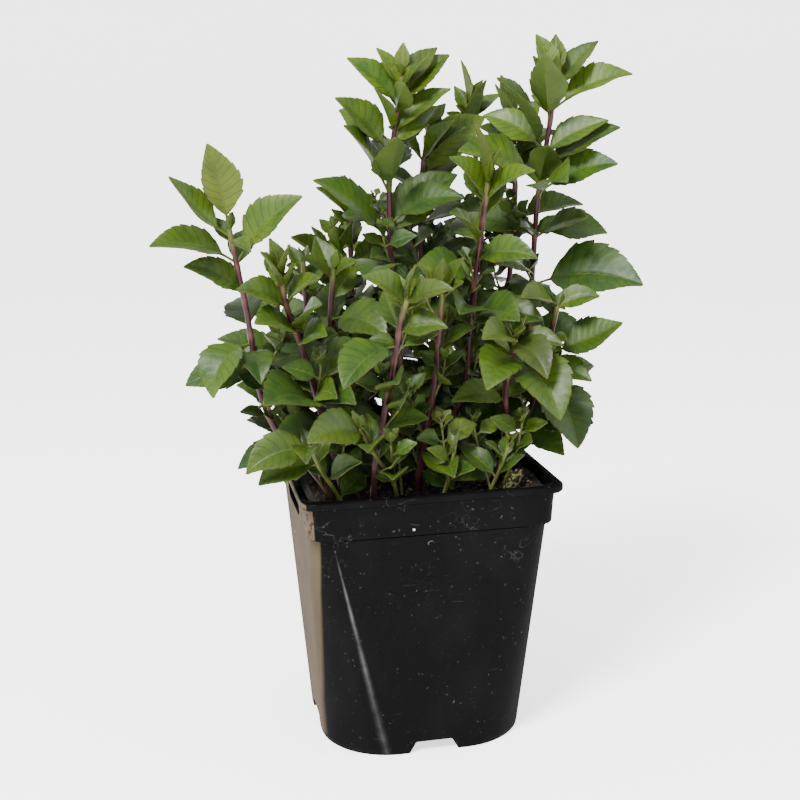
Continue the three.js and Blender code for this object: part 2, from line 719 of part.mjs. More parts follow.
function edgesOf(faces) {
  const edges = new Map();
  for (const [a, b, c] of faces) {
    for (const [from, to] of [[a, b], [b, c], [c, a]]) {
      edges.set(`${Math.min(from, to)},${Math.max(from, to)}`, [from, to]);
    }
  }
  return [...edges.values()];
}

// A skin with its edges and the box round it, ready to be tested.
function shape(owner, { points, faces }) {
  const low = [0, 1, 2].map((axis) => Math.min(...points.map((point) => point[axis])));
  const high = [0, 1, 2].map((axis) => Math.max(...points.map((point) => point[axis])));
  return { owner, points, faces, edges: edgesOf(faces), low, high };
}

function crosses(one, other) {
  if ([0, 1, 2].some((axis) => one.low[axis] > other.high[axis] || other.low[axis] > one.high[axis])) {
    return false;
  }
  return [[one, other], [other, one]].some(([edged, faced]) => edged.edges.some(([from, to]) => (
    faced.faces.some(([a, b, c]) => pierces(
      edged.points[from], edged.points[to], faced.points[a], faced.points[b], faced.points[c],
    ))
  )));
}

// Whether every point is clear of the pot: over the rim, or outside it, or else wholly over the soil.
function clearOfPot(points) {
  const outwards = points.map(([x, y]) => Math.max(Math.abs(x), Math.abs(y)));
  const overSoil = outwards.every((distance) => distance < BODY.topHalf - POT_CLEARANCE.wall);
  return points.every(([, , z], i) => (
    z > POT_HEIGHT + POT_CLEARANCE.rim
    || outwards[i] > LIP.half + POT_CLEARANCE.rim
    || (overSoil && z > SOIL_TOP + POT_CLEARANCE.soil)
  ));
}

const grown = [];

// The leaf as it first fits, or null. It always meets its own stem, and a leaf near a tip its own neighbours.
function place(owner, leaf, crowded) {
  for (const [turn, rise, size] of TRIES) {
    const tried = {
      ...leaf,
      turn: leaf.turn + turn,
      rise: leaf.rise + rise,
      length: leaf.length * size,
      width: leaf.width * size,
    };
    const wide = leafSheet(tried, CLEARANCE.edge, CLEARANCE.root);
    const envelope = shape(owner, thicken(wide, HALF_BLADE + CLEARANCE.face));
    const others = grown.filter((item) => item.owner !== owner || (item.isLeaf && !crowded));
    if (clearOfPot(envelope.points) && !others.some((item) => crosses(envelope, item))) {
      grown.push({ ...shape(owner, leafSheet(tried, 0, CLEARANCE.root)), isLeaf: true });
      return tried;
    }
  }
  return null;
}

function teethFor(length) {
  return LEAST_TOOTHED.filter((least) => length >= least).length;
}

function turnedToLight(leaf) {
  const turn = leaf.turn * RADIAN;
  const slope = (leaf.rise - leaf.droop / 2) * RADIAN;
  const forward = [Math.cos(turn), Math.sin(turn), 0];
  const right = [Math.sin(turn), -Math.cos(turn), 0];
  const normal = add(scaled([0, 0, 1], Math.cos(slope)), forward, -Math.sin(slope));
  const side = dot(right, LIGHT.from);
  const face = dot(normal, LIGHT.from);
  const roll = LIGHT.roll * RADIAN * side / Math.sqrt(side * side + face * face);
  return { ...leaf, roll: leaf.roll + roll };
}

// A leaf placed by hand, from the place of its tip.
function leafToTip(line, [down, x, y, z, droop], roll) {
  const root = downFromTip(line, down);
  const chord = subtract([x, y, z], root);
  const flat = Math.sqrt(chord[0] * chord[0] + chord[1] * chord[1]);
  const halfDroop = (Math.abs(droop) < 1 ? 1 : droop) / 2 * RADIAN;
  const length = Math.sqrt(dot(chord, chord)) * halfDroop / Math.sin(halfDroop);
  return {
    root, droop, roll, length,
    turn: Math.atan2(chord[1], chord[0]) / RADIAN,
    rise: Math.atan2(chord[2], flat) / RADIAN + droop / 2,
    width: length * (z > PLACED.highTip ? PLACED.highWidth : PLACED.lowWidth),
    teeth: teethFor(length),
  };
}

function pairLeaf(root, turn, pair, size) {
  const length = PAIR_LENGTH[pair] * size * (1 + spread(PAIR_SPREAD.length));
  return {
    root, length,
    turn: turn + spread(PAIR_SPREAD.turn),
    rise: PAIR_RISE[pair] + spread(PAIR_SPREAD.rise),
    droop: PAIR_DROOP[pair] + spread(PAIR_SPREAD.droop),
    roll: spread(PAIR_SPREAD.roll) * RADIAN,
    width: length * PAIR_WIDTH[pair],
    teeth: teethFor(length),
  };
}

function budLeaf(root, turn, size) {
  const length = BUD.length * size * (1 + spread(BUD_SPREAD.length));
  return {
    root, length,
    turn: turn + 90 + spread(BUD_SPREAD.turn),
    rise: BUD.rise + spread(BUD_SPREAD.rise),
    droop: BUD.droop + spread(BUD_SPREAD.droop),
    roll: spread(BUD_SPREAD.roll) * RADIAN,
    width: length * BUD.width,
    teeth: 0,
  };
}

function stemBar(stem, wider = 0) {
  const [x, y] = stem.route[0];
  const { foot, tip } = radiusOf(stem);
  return bar([[x, y, STEM_FOOT], ...stem.route], foot + wider, tip + wider, stem.turn);
}

// The leaves of each stem: those placed by hand first, then the pairs from the lowest up.
function growLeaves() {
  const leaves = new Map(STEMS.map((stem) => [stem.name, []]));
  const keep = (stem, leaf, crowded) => {
    const placed = place(stem.name, leaf, crowded);
    if (placed) {
      leaves.get(stem.name).push(placed);
    }
  };
  for (const stem of STEMS) {
    grown.push(shape(stem.name, stemBar(stem, CLEARANCE.stem)));
  }
  for (const stem of STEMS) {
    for (const tip of stem.tips) {
      keep(stem, turnedToLight(leafToTip(stem.route, tip, spread(PLACED.roll) * RADIAN)), true);
    }
  }
  for (let pair = PAIR_SHARE.length - 1; pair >= 0; pair--) {
    const gaps = PAIR_GAP.slice(0, pair + 1).reduce((sum, gap) => sum + gap, 0);
    for (const stem of STEMS) {
      const root = downFromTip(stem.route, gaps * stem.size);
      for (const hand of [0, 180]) {
        const turn = stem.turn + pair * 90 + hand;
        const leaf = turnedToLight(pairLeaf(root, turn, pair, stem.size));
        const bud = turnedToLight(budLeaf(root, turn, stem.size));
        const isLeft = random() < PAIR_SHARE[pair] * (stem.tips.length > 0 ? 1 : UNPLACED_SHARE);
        const hasBud = random() < BUD.share && pair >= BUD.firstPair;
        const isClear = root && root[2] > LOWEST_ROOT;
        if (isClear && isLeft) {
          keep(stem, leaf, pair < CROWDED_PAIRS);
        }
        if (isClear && hasBud) {
          keep(stem, bud, false);
        }
      }
    }
  }
  return leaves;
}

// ---------------------------------------------------------------------------------------------------------
// The model
// ---------------------------------------------------------------------------------------------------------

function finish(color, roughness) {
  return new THREE.MeshStandardMaterial({ color, roughness, metalness: 0, flatShading: true });
}

const PLASTIC = finish('#1d1d1e', 0.45);
const EARTH = finish('#2b2019', 1);
const LEAF = finish('#557f35', 0.6);

const plant = new THREE.Group();
plant.name = 'potted_mint';
plant.add(meshOf('pot', makePot(), PLASTIC));
plant.add(meshOf('soil', makeSoil(), EARTH));
const leavesOf = growLeaves();
for (const stem of STEMS) {
  const skins = leavesOf.get(stem.name).map((leaf) => thicken(leafSheet(leaf, 0, ROOT_START), HALF_BLADE));
  const body = [stemBar(stem), ...skins].map(solidOf).reduce((whole, piece) => whole.add(piece));
  plant.add(meshOf(stem.name, body, LEAF));
}

export default plant;
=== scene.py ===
"""Potted mint: a square black nursery pot, its soil, and leafy stems of mint.

Lengths are in millimetres while the plant grows, and are turned into metres when a mesh is made. The origin
is under the middle of the pot, on the surface that it stands on, and +Z is up.
"""
import math
import random
from typing import NamedTuple

import bpy
import numpy as np
from bpy.props import FloatProperty, FloatVectorProperty, IntProperty, PointerProperty
from mathutils import Matrix, Vector


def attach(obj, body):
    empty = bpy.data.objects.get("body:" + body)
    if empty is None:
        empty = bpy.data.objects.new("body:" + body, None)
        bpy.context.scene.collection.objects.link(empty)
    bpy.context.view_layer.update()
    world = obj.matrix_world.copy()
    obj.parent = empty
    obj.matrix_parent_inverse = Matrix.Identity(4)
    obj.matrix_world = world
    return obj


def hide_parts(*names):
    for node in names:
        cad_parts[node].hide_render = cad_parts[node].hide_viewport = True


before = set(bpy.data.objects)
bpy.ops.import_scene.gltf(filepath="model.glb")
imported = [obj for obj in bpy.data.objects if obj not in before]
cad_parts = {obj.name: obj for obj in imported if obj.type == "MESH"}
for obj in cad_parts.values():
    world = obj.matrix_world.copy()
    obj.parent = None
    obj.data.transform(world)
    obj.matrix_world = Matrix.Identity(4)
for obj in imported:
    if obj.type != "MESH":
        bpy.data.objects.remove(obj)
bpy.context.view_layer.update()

bl_info = {
    "name": "Potted mint",
    "version": (1, 0, 0),
    "blender": (4, 5, 0),
    "location": "3D View > Sidebar > Mint",
    "description": "Makes a pot of mint: the pot, the soil, the leafy stems and the stage",
    "category": "Add Mesh",
}

MM = 0.001
BODY_NAME = "root"

# ---------------------------------------------------------------------------------------------------------
# The plant's dimensions, in millimetres and degrees
# ---------------------------------------------------------------------------------------------------------

POT_HEIGHT = 118
WALL = 1.4
LIP = {"height": 3.3, "half": 55, "corner": 7}
BAND = {"depth": 17.6, "top_half": 52.6, "foot_half": 51.6, "corner": 8}
BODY = {"top_half": 51.2, "top_corner": 15, "foot_half": 44.5, "foot_corner": 30}
FOOT_RING = 2.4
FLOOR = {"under": 5.2, "over": 6.8}
NOTCH = {"height": 5.2, "top_half": 8.4, "foot_half": 10.9}
SLOT = {"length": 36, "foot": 101, "top": 110.6}
DRAIN = {"radius": 4, "reach": 24}
CENTRE_FOOT = {"radius": 7, "top_radius": 9}

SOIL_TOP = 107
SOIL_ROUGHNESS = 1.2
TROUGH = {"depth": 8, "width": 5, "length": 44}

STEM_FOOT = 95.6
STEM_RADIUS = (2.1, 1.45)
SHOOT_RADIUS = (1.3, 0.8)
SPRIG_RADIUS = (0.75, 0.45)

HALF_BLADE = 0.33
STALK = {"share": 0.15, "least": 1.6, "half": 0.65}
FOLD = 0.34
TOOTH = {"step": 0.045, "out": 1.05, "back": 0.84}
LEAST_TOOTHED = (22, 32)

# Leaves grow in pairs, each pair turned a quarter from the last. The lists run from the tip downwards.
PAIR_GAP = [2, 5, 9, 13, 16, 18, 19, 20, 20, 20]
PAIR_LENGTH = [10, 17, 25, 31, 35, 35, 31, 27, 24, 22]
PAIR_WIDTH = [0.44, 0.46, 0.48, 0.5, 0.52, 0.55, 0.58, 0.6, 0.64, 0.66]
PAIR_RISE = [76, 64, 54, 45, 36, 28, 20, 12, 6, 0]
PAIR_DROOP = [5, 15, 25, 32, 40, 46, 50, 54, 55, 50]
PAIR_SHARE = [0.12, 0.12, 0.16, 0.22, 0.28, 0.31, 0.33, 0.31, 0.28, 0.22]
PAIR_SPREAD = {"length": 0.12, "turn": 14, "rise": 8, "droop": 10, "roll": 16}
CROWDED_PAIRS = 2
UNPLACED_SHARE = 1.6
LOWEST_ROOT = SOIL_TOP + 5
PLACED = {"high": 200, "high_width": 0.5, "low_width": 0.6, "roll": 12}
BUD = {"first_pair": 4, "share": 0.08, "length": 15, "width": 0.6, "rise": 36, "droop": 40}
BUD_SPREAD = {"length": 0.25, "turn": 25, "rise": 14, "droop": 14, "roll": 16}

# Leaves roll about their midribs to face the light: where it comes from, and how far they roll at most.
LIGHT_FROM = (-0.25, -0.8, 0.55)
LIGHT_ROLL = 50

# A leaf that would touch another, or the pot, is turned, raised or made smaller: turn, rise, size.
TRIES = [
    (0, 0, 1), (14, 6, 1), (-14, 6, 1), (0, 16, 0.95), (26, -6, 0.9), (-26, -6, 0.9), (0, -16, 0.85),
    (20, 24, 0.8), (-20, 24, 0.8), (40, 10, 0.75), (-40, 10, 0.75), (0, 34, 0.7), (0, 0, 0.6),
    (30, 20, 0.55), (-30, 20, 0.55),
]
CLEARANCE = {"face": 0.5, "edge": 0.7, "stem": 0.6, "root": 2.6}
POT_CLEARANCE = {"wall": 6, "rim": 1.5, "soil": 2.5}
DRAW_SEED = 20261
LOOK_SEED = 71

# The finer foliage that is added to the solids' leaves stands closer, and is tried fewer times.
MORE_TRIES = TRIES[:9]
MORE_CLEARANCE = {"face": 0.2, "edge": 0.2}
MORE_SHARE = [0.85, 0.75, 0.6, 0.5, 0.5, 0.55, 0.65, 0.75, 0.8, 0.8]
SPRIG_SHARE = [0, 0, 0.1, 0.4, 0.75, 0.9, 0.95, 0.95, 0.95, 0.9]
SPRIG_LENGTH = (9, 26)
SPRIG_SIZE = (0.5, 0.78)
SPRIG_TURN = 20
SPRIG_LEAN = (25, 55)
SPRIG_PAIRS = 4
SPRIG_LEAF = {"width": 0.62, "lower": 15}
LOWEST_SPRIG = SOIL_TOP + 4
MORE_SHARE_LEAST = 0.5
YOUNG_REACH = 40
YOUNG_HEIGHT = (16, 48)
YOUNG_RADIUS = (0.9, 0.5)
YOUNG_SHOOT = {"foot": SOIL_TOP - 3, "lean": 30, "size": 0.55}
FRONT_ROW = {"every": 3, "y": -41, "spread": 6, "height": (14, 27)}


class Stem(NamedTuple):
    """A stem: its node, first pair's direction, size, route from the soil to its tip, and given leaves.

    A given leaf is the distance down from the stem's tip, the place of the leaf's own tip, and how far the
    leaf bends down from stalk to tip.
    """

    name: str
    turn: float
    size: float
    route: list
    tips: list
    low: bool = False


# Most of the leaf tips, and some of the routes, follow places that another program worked out. They weren't
# chosen by hand.
STEMS = [
    Stem("stem_left_tall", 80, 1,
         [(-36, -8, 107), (-46, -8, 121), (-60, -9, 138), (-66, -11, 155), (-70, -14, 190),
          (-76, -18, 224)],
         [(1, -83, -15, 258, 8), (3, -99, -25, 246, -25), (4, -69, -31, 216, 30),
          (14, -108, -24, 219, 48), (14, -47, -25, 237, 30), (28, -95, -20, 210, 55),
          (49, -86, -26, 157, 100), (52, -67, -32, 163, 70)]),
    Stem("stem_left_front", 20, 0.85,
         [(-26, -20, 107), (-36, -21, 126), (-43, -24, 152), (-48, -26, 172), (-56, -29, 195),
          (-57, -30, 206)],
         [(1, -61, -28, 221, 10), (2, -54, -35, 219, 15), (6, -66, -39, 217, 25),
          (13, -76, -42, 203, 40), (13, -43, -40, 206, 60), (26, -70, -46, 190, 45),
          (30, -42, -47, 184, 50), (60, -76, -48, 155, 55)]),
    Stem("stem_left_middle", 10, 0.9,
         [(-31, -4, 107), (-34, -3, 140), (-34, 0, 165), (-33, 1, 190), (-31, 2, 204)],
         [(4, -46, -5, 210, 35), (4, -22, -9, 208, 35), (6, -37, 14, 217, 20),
          (22, -14, -26, 178, 60)]),
    Stem("stem_back_left", 90, 0.95,
         [(-14, 20, 107), (-18, 25, 145), (-19, 30, 186), (-18, 35, 224)],
         [(1, -34, 28, 237, 20), (1, -9, 25, 229, 30), (2, -21, 30, 242, 10)]),
    Stem("stem_centre_tall", 60, 1,
         [(0, 10, 107), (0, 9, 143), (-3, 7, 178), (-6, 5, 214), (-6, 4, 245), (0, 2, 284)],
         [(1, 1, 4, 297, 5), (6, -10, 6, 295, 12), (6, 16, 6, 295, 12), (12, -23, 4, 291, 25),
          (12, 21, 5, 292, 20), (24, -14, -8, 279, 20), (24, 20, -1, 278, 25),
          (34, -29, 0, 275, 25), (36, 17, 12, 271, 30), (50, -27, -8, 264, 25),
          (50, -8, -20, 259, 20), (72, -40, -6, 242, 40), (72, 25, 8, 242, 50)]),
    Stem("stem_centre_back", 110, 1,
         [(18, 24, 107), (16, 21, 140), (17, 21, 168), (11, 20, 202), (11, 18, 240),
          (15, 18, 263)],
         [(2, 14, 16, 274, 10), (3, 23, 21, 272, 20), (16, -4, 10, 261, 25),
          (18, 29, 8, 262, 30), (26, 42, 25, 266, 40)]),
    Stem("stem_front", 100, 0.9,
         [(-23, -33, 107), (-21, -36, 133), (-16, -41, 162), (-12, -46, 189), (-10, -48, 197)],
         [(3, -29, -57, 208, 40), (3, 6, -60, 202, 45), (1, -7, -51, 211, 5),
          (6, -15, -36, 208, 20), (15, 5, -54, 186, 50), (20, -38, -60, 165, 60)]),
    Stem("stem_right_front", 40, 1,
         [(20, 8, 107), (20, 5, 130), (26, 1, 148), (27, -6, 178), (28, -10, 200),
          (30, -18, 231), (31, -20, 240)],
         [(2, 24, -24, 265, 8), (3, 34, -27, 254, 15), (8, 12, -30, 251, 30),
          (8, 46, -36, 245, 40), (10, 27, -4, 250, 20), (26, 12, -30, 229, 30),
          (34, 49, -31, 209, 50), (60, 6, -35, 185, 60), (62, 40, -36, 184, 60)]),
    Stem("stem_right_tall", 70, 1.1,
         [(40, 26, 107), (46, 25, 118), (55, 23, 126), (60, 19, 145), (60, 12, 193),
          (60, 5, 230), (64, -1, 266), (65, -4, 282)],
         [(1, 58, 2, 300, 5), (1, 67, 3, 300, 5), (6, 85, 0, 297, 20), (14, 97, -10, 283, 35),
          (20, 55, -18, 291, 5), (40, 92, -10, 261, 35), (50, 89, -16, 246, 40),
          (46, 24, -20, 248, 40), (52, 60, -35, 240, 50), (70, 75, -18, 224, 25),
          (92, 101, -18, 194, 45), (90, 34, -20, 206, 60),
          (33, 36, -14, 282, 30)]),
    Stem("stem_right_low", 30, 0.9,
         [(39, 0, 107), (44, -1, 115), (52, -4, 127), (58, -10, 155), (61, -16, 179),
          (62, -18, 187)],
         [(2, 79, -24, 191, 50), (2, 42, -30, 193, 50), (22, 88, -28, 180, -20),
          (28, 75, -27, 155, 20), (34, 66, -36, 128, 60), (58, 64, -24, 122, 20)]),
    Stem("stem_front_right", 15, 0.85,
         [(34, -10, 107), (42, -11, 126), (39, -17, 152), (40, -26, 168), (38, -36, 177)],
         [(1, 39, -46, 183, 10), (3, 20, -50, 180, 50), (4, 46, -54, 163, 70),
          (8, 57, -42, 174, 50), (14, 22, -50, 159, 60), (16, 51, -56, 146, 70)]),
    Stem("stem_back_right_tall", 45, 1,
         [(32, 40, 107), (38, 40, 135), (43, 39, 168), (45, 40, 201), (42, 42, 251),
          (39, 42, 272)],
         [(2, 35, 40, 291, 8), (4, 43, 32, 282, 20), (8, 55, 44, 276, 30), (12, 30, 30, 271, 25),
          (15, 43, 27, 282, 20)]),
    Stem("stem_back_right_inner", 0, 1,
         [(25, 31, 107), (40, 30, 140), (50, 28, 165), (54, 26, 195), (56, 24, 235),
          (53, 23, 264)],
         [(1, 49, 24, 284, 5), (4, 54, 13, 276, 15), (12, 69, 28, 273, 35), (4, 44, 16, 280, 10),
          (20, 35, 8, 262, 40), (24, 66, 8, 250, 50)]),
    Stem("stem_back_far_left", 70, 0.85,
         [(-20, 36, 107), (-21, 38, 138), (-24, 41, 171), (-28, 44, 203)],
         [(2, -45, 35, 215, 30), (2, -35, 40, 219, 15), (4, -20, 50, 214, 30)]),
    Stem("stem_front_middle", 35, 0.8,
         [(1, -12, 107), (4, -16, 135), (8, -20, 158), (9, -25, 184), (9, -29, 196)],
         [(1, 8, -34, 211, 5), (3, 15, -40, 202, 20), (3, -2, -31, 209, 20),
          (5, 20, -34, 210, 30)]),
    Stem("stem_back_edge_left", 20, 0.9,
         [(-34, 30, 107), (-46, 36, 130), (-52, 39, 165), (-51, 42, 200)],
         []),
    Stem("stem_back_edge", 65, 0.95,
         [(4, 41, 107), (2, 47, 145), (4, 52, 185), (6, 54, 222)],
         []),
    Stem("stem_left_inner", 55, 0.85,
         [(-30, 13, 107), (-37, 15, 140), (-41, 17, 175), (-42, 18, 206)],
         []),
    Stem("stem_back_corner", 15, 0.9,
         [(18, 42, 107), (24, 48, 140), (26, 56, 180), (24, 62, 214)],
         []),
    Stem("shoot_front_left", 215, 0.7,
         [(-34, -34, 107), (-39, -38, 118), (-46, -43, 129), (-50, -47, 140)],
         [(2, -76, -50, 131, 60), (10, -71, -46, 125, 40), (2, -54, -66, 138, 60)], low=True),
    Stem("shoot_front", 250, 0.7,
         [(-12, -36, 107), (-15, -41, 122), (-24, -46, 134), (-30, -49, 146)],
         [(4, -53, -62, 145, 60), (12, -30, -66, 141, 60)], low=True),
    Stem("shoot_front_centre", 200, 0.6,
         [(6, -34, 107), (9, -40, 122), (10, -45, 136)],
         [], low=True),
    Stem("shoot_front_right", 225, 0.6,
         [(26, -33, 107), (31, -38, 122), (34, -42, 134)],
         [], low=True),
    Stem("shoot_left", 170, 0.7,
         [(-38, 8, 107), (-45, 10, 121), (-56, 13, 140), (-62, 14, 158)],
         [], low=True),
    Stem("shoot_right", 345, 0.75,
         [(41, 12, 107), (46, 13, 119), (58, 14, 136), (66, 13, 154)],
         [], low=True),
    Stem("shoot_back", 80, 0.7,
         [(-8, 38, 107), (-12, 48, 126), (-14, 58, 150)],
         [], low=True),
]

# ---------------------------------------------------------------------------------------------------------
# Growing the leaves
# ---------------------------------------------------------------------------------------------------------


class Leaf(NamedTuple):
    """A leaf from its root on the stem's axis. Angles are in degrees, except roll, in radians."""

    root: tuple
    turn: float
    rise: float
    droop: float
    roll: float
    length: float
    width: float
    teeth: int

    def turned_to_light(self):
        """The leaf, rolled about its midrib to face the light."""
        turn = math.radians(self.turn)
        slope = math.radians(self.rise - self.droop / 2)
        normal = (-math.sin(slope) * math.cos(turn), -math.sin(slope) * math.sin(turn), math.cos(slope))
        right = (math.sin(turn), -math.cos(turn), 0)
        side = sum(a * b for a, b in zip(right, LIGHT_FROM))
        face = sum(a * b for a, b in zip(normal, LIGHT_FROM))
        return self._replace(roll=self.roll + math.radians(LIGHT_ROLL) * side / math.hypot(side, face))


class Draws:
    """Random numbers that come out the same on every run."""

    def __init__(self, seed):
        self.seed = seed

    def value(self):
        self.seed = self.seed * 48271 % 2147483647
        return self.seed / 2147483647

    def spread(self, amount):
        return (self.value() * 2 - 1) * amount

    def between(self, low, high):
        return low + (high - low) * self.value()


def teeth_for(length):
    return sum(length >= least for least in LEAST_TOOTHED)


def down_from_tip(route, distance):
    """The point of a route that lies a distance down from its tip, or None past its foot."""
    left = distance
    for upper, lower in zip(route[::-1], route[-2::-1]):
        step = [b - a for a, b in zip(upper, lower)]
        length = math.sqrt(sum(value * value for value in step))
        if left <= length:
            return tuple(a + value * left / length for a, value in zip(upper, step))
        left -= length
    return None


def route_length(route):
    return sum(math.dist(a, b) for a, b in zip(route, route[1:]))


def breadth(t):
    """How wide a blade is, as a share of its greatest width, from its base (0) to its tip (1)."""
    return np.sin(np.pi * np.clip(t, 0, 1) ** 0.78) ** 0.82


def leaf_frame(leaf, share, length):
    """The midrib's points at some shares of the length, with the directions beside and facing there."""
    share = np.asarray(share, float)
    rise = math.radians(leaf.rise)
    droop = math.radians(1 if abs(leaf.droop) < 1 else leaf.droop)
    turn = math.radians(leaf.turn)
    forward = np.array([math.cos(turn), math.sin(turn), 0])
    left = np.array([-math.sin(turn), math.cos(turn), 0])
    up = np.array([0.0, 0, 1])
    angle = rise - droop * share
    reach = length / droop * (math.sin(rise) - np.sin(angle))
    height = length / droop * (np.cos(angle) - math.cos(rise))
    middle = np.array(leaf.root) + reach[..., None] * forward + height[..., None] * up
    normal = np.cos(angle)[..., None] * up - np.sin(angle)[..., None] * forward
    beside = left * math.cos(leaf.roll) + normal * math.sin(leaf.roll)
    facing = normal * math.cos(leaf.roll) - left * math.sin(leaf.roll)
    return middle, beside, facing


def margin(teeth):
    """One side of a plain blade's outline, as pairs of place along the blade and width."""
    if teeth == 0:
        return [(0.3, breadth(0.3)), (0.68, breadth(0.68))]
    side = [(0.26, breadth(0.26))] if teeth == 1 else [(0.13, breadth(0.13))]
    for tooth in range(1, teeth + 1):
        t = 0.16 + (0.5 if teeth == 1 else 0.68 * tooth / (teeth + 0.35))
        side.append((t, breadth(t) * TOOTH["out"]))
        side.append((t + TOOTH["step"], breadth(t + TOOTH["step"]) * TOOTH["back"]))
    return side


def plain_sheet(leaf, wider=0.0, begin=0.0):
    """A leaf's middle surface with few triangles: its points, their facing, and its faces."""
    places = []
    faces = []

    def put(share, width):
        places.append((share, width))
        return len(places) - 1

    has_stalk = leaf.teeth > 1
    stalk = STALK["share"] + STALK["least"] / leaf.length if has_stalk else begin / leaf.length
    half = leaf.width / 2 + wider
    stalk_half = STALK["half"] + wider
    base_left = put(begin / leaf.length, stalk_half)
    base_right = put(begin / leaf.length, -stalk_half)
    if has_stalk:
        root_left, root_right = base_left, base_right
        base_left = put(stalk, stalk_half)
        base_right = put(stalk, -stalk_half)
        faces += [(root_left, root_right, base_right), (root_left, base_right, base_left)]
    middles = [(t, put(stalk + (1 - stalk) * t, 0)) for t in ([0.3, 0.68] if has_stalk else [0.5])]
    tip = put(1, 0)
    faces.append((base_left, base_right, middles[0][1]))
    for hand, base in ((1, base_left), (-1, base_right)):
        side = [(0, base)]
        side += [(t, put(stalk + (1 - stalk) * t, hand * half * width)) for t, width in margin(leaf.teeth)]
        side.append((1, tip))
        m = 0
        for (t, here), (_, there) in zip(side, side[1:]):
            while m + 1 < len(middles) and (middles[m][0] + middles[m + 1][0]) / 2 < t:
                faces.append((here, middles[m + 1][1], middles[m][1])[::-hand])
                m += 1
            faces.append((here, there, middles[m][1])[::-hand])
    share, width = np.array(places).T
    middle, beside, facing = leaf_frame(leaf, share, leaf.length + wider)
    points = middle + beside * (width * math.cos(FOLD))[:, None]
    points += facing * (np.abs(width) * math.sin(FOLD))[:, None]
    return points, facing, faces


def thicken(sheet, half):
    """A sheet given a thickness, as a closed skin."""
    points, facing, faces = sheet
    count = len(points)
    edges = {(a, b) for face in faces for a, b in zip(face, face[1:] + face[:1])}
    rim = []
    for a, b in edges:
        if (b, a) not in edges:
            rim += [(b, a, a + count), (b, a + count, b + count)]
    under = [(c + count, b + count, a + count) for a, b, c in faces]
    return np.vstack([points + facing * half, points - facing * half]), faces + under + rim


def bar(line, foot_radius, tip_radius, turn):
    """A four-sided bar along a line, one side facing the turn."""
    points, across, beside = spine(line, turn)
    count = len(line)
    radius = (foot_radius + (tip_radius - foot_radius) * np.arange(count) / (count - 1)) * math.sqrt(0.5)
    corners = [
        points + across * (radius * u)[:, None] + beside * (radius * v)[:, None]
        for u, v in ((1, 1), (-1, 1), (-1, -1), (1, -1))
    ]
    skin = np.stack(corners, axis=1).reshape(-1, 3)
    faces = []
    for i in range(count - 1):
        for side in range(4):
            a = i * 4 + side
            b = i * 4 + (side + 1) % 4
            faces += [(a, b, b + 4), (a, b + 4, a + 4)]
    top = len(skin) - 4
    faces += [(0, 2, 1), (0, 3, 2), (top, top + 1, top + 2), (top, top + 2, top + 3)]
    return skin, faces


def spine(line, turn):
    """A line's points with two directions square to it, the first towards the turn."""
    points = np.array(line, float)
    before = points[np.maximum(np.arange(len(points)) - 1, 0)]
    after = points[np.minimum(np.arange(len(points)) + 1, len(points) - 1)]
    along = unit(after - before)
    towards = np.array([math.cos(math.radians(turn)), math.sin(math.radians(turn)), 0.001])
    across = unit(towards - along * (along @ towards)[:, None])
    return points, across, np.cross(along, across)


def unit(vectors):
    return vectors / np.linalg.norm(vectors, axis=-1, keepdims=True)


class Shape:
    """A skin with its edges and the box round it, ready to be tested."""

    def __init__(self, owner, points, faces, is_leaf=False):
        self.owner = owner
        self.is_leaf = is_leaf
        self.points = points
        self.triangles = points[np.array(faces)]
        pairs = {tuple(sorted(pair)) for a, b, c in faces for pair in ((a, b), (b, c), (c, a))}
        self.edges = points[np.array(sorted(pairs))]
        self.low = points.min(axis=0)
        self.high = points.max(axis=0)


def near(corners, low, high):
    """Those edges or triangles that reach into a box."""
    inside = (corners.min(axis=1) <= high) & (corners.max(axis=1) >= low)
    return corners[inside.all(axis=1)]


def any_pierced(edges, triangles):
    """Whether any straight edge passes through any triangle."""
    if not len(edges) or not len(triangles):
        return False
    start = edges[:, None, 0]
    along = edges[:, None, 1] - start
    corner = triangles[None, :, 0]
    side1 = triangles[None, :, 1] - corner
    side2 = triangles[None, :, 2] - corner
    h = np.cross(along, side2)
    det = (side1 * h).sum(-1)
    det = np.where(np.abs(det) < 1e-9, np.inf, det)
    s = start - corner
    u = (s * h).sum(-1) / det
    r = np.cross(s, side1)
    v = (along * r).sum(-1) / det
    t = (side2 * r).sum(-1) / det
    inside = np.isfinite(det) & (u >= 0) & (u <= 1) & (v >= 0) & (u + v <= 1) & (t >= 0) & (t <= 1)
    return bool(inside.any())


def clear_of_pot(points):
    """Whether every point is over the rim, or outside the pot, or else wholly over the soil."""
    outwards = np.abs(points[:, :2]).max(axis=1)
    over_soil = (outwards < BODY["top_half"] - POT_CLEARANCE["wall"]).all()
    over_rim = points[:, 2] > POT_HEIGHT + POT_CLEARANCE["rim"]
    outside = outwards > LIP["half"] + POT_CLEARANCE["rim"]
    high_enough = points[:, 2] > SOIL_TOP + POT_CLEARANCE["soil"]
    return bool((over_rim | outside | (over_soil & high_enough)).all())


class Sprig(NamedTuple):
    """A thin side shoot that grows from a stem, or a young shoot from the soil."""

    owner: str
    turn: float
    size: float
    route: list
    radius: tuple


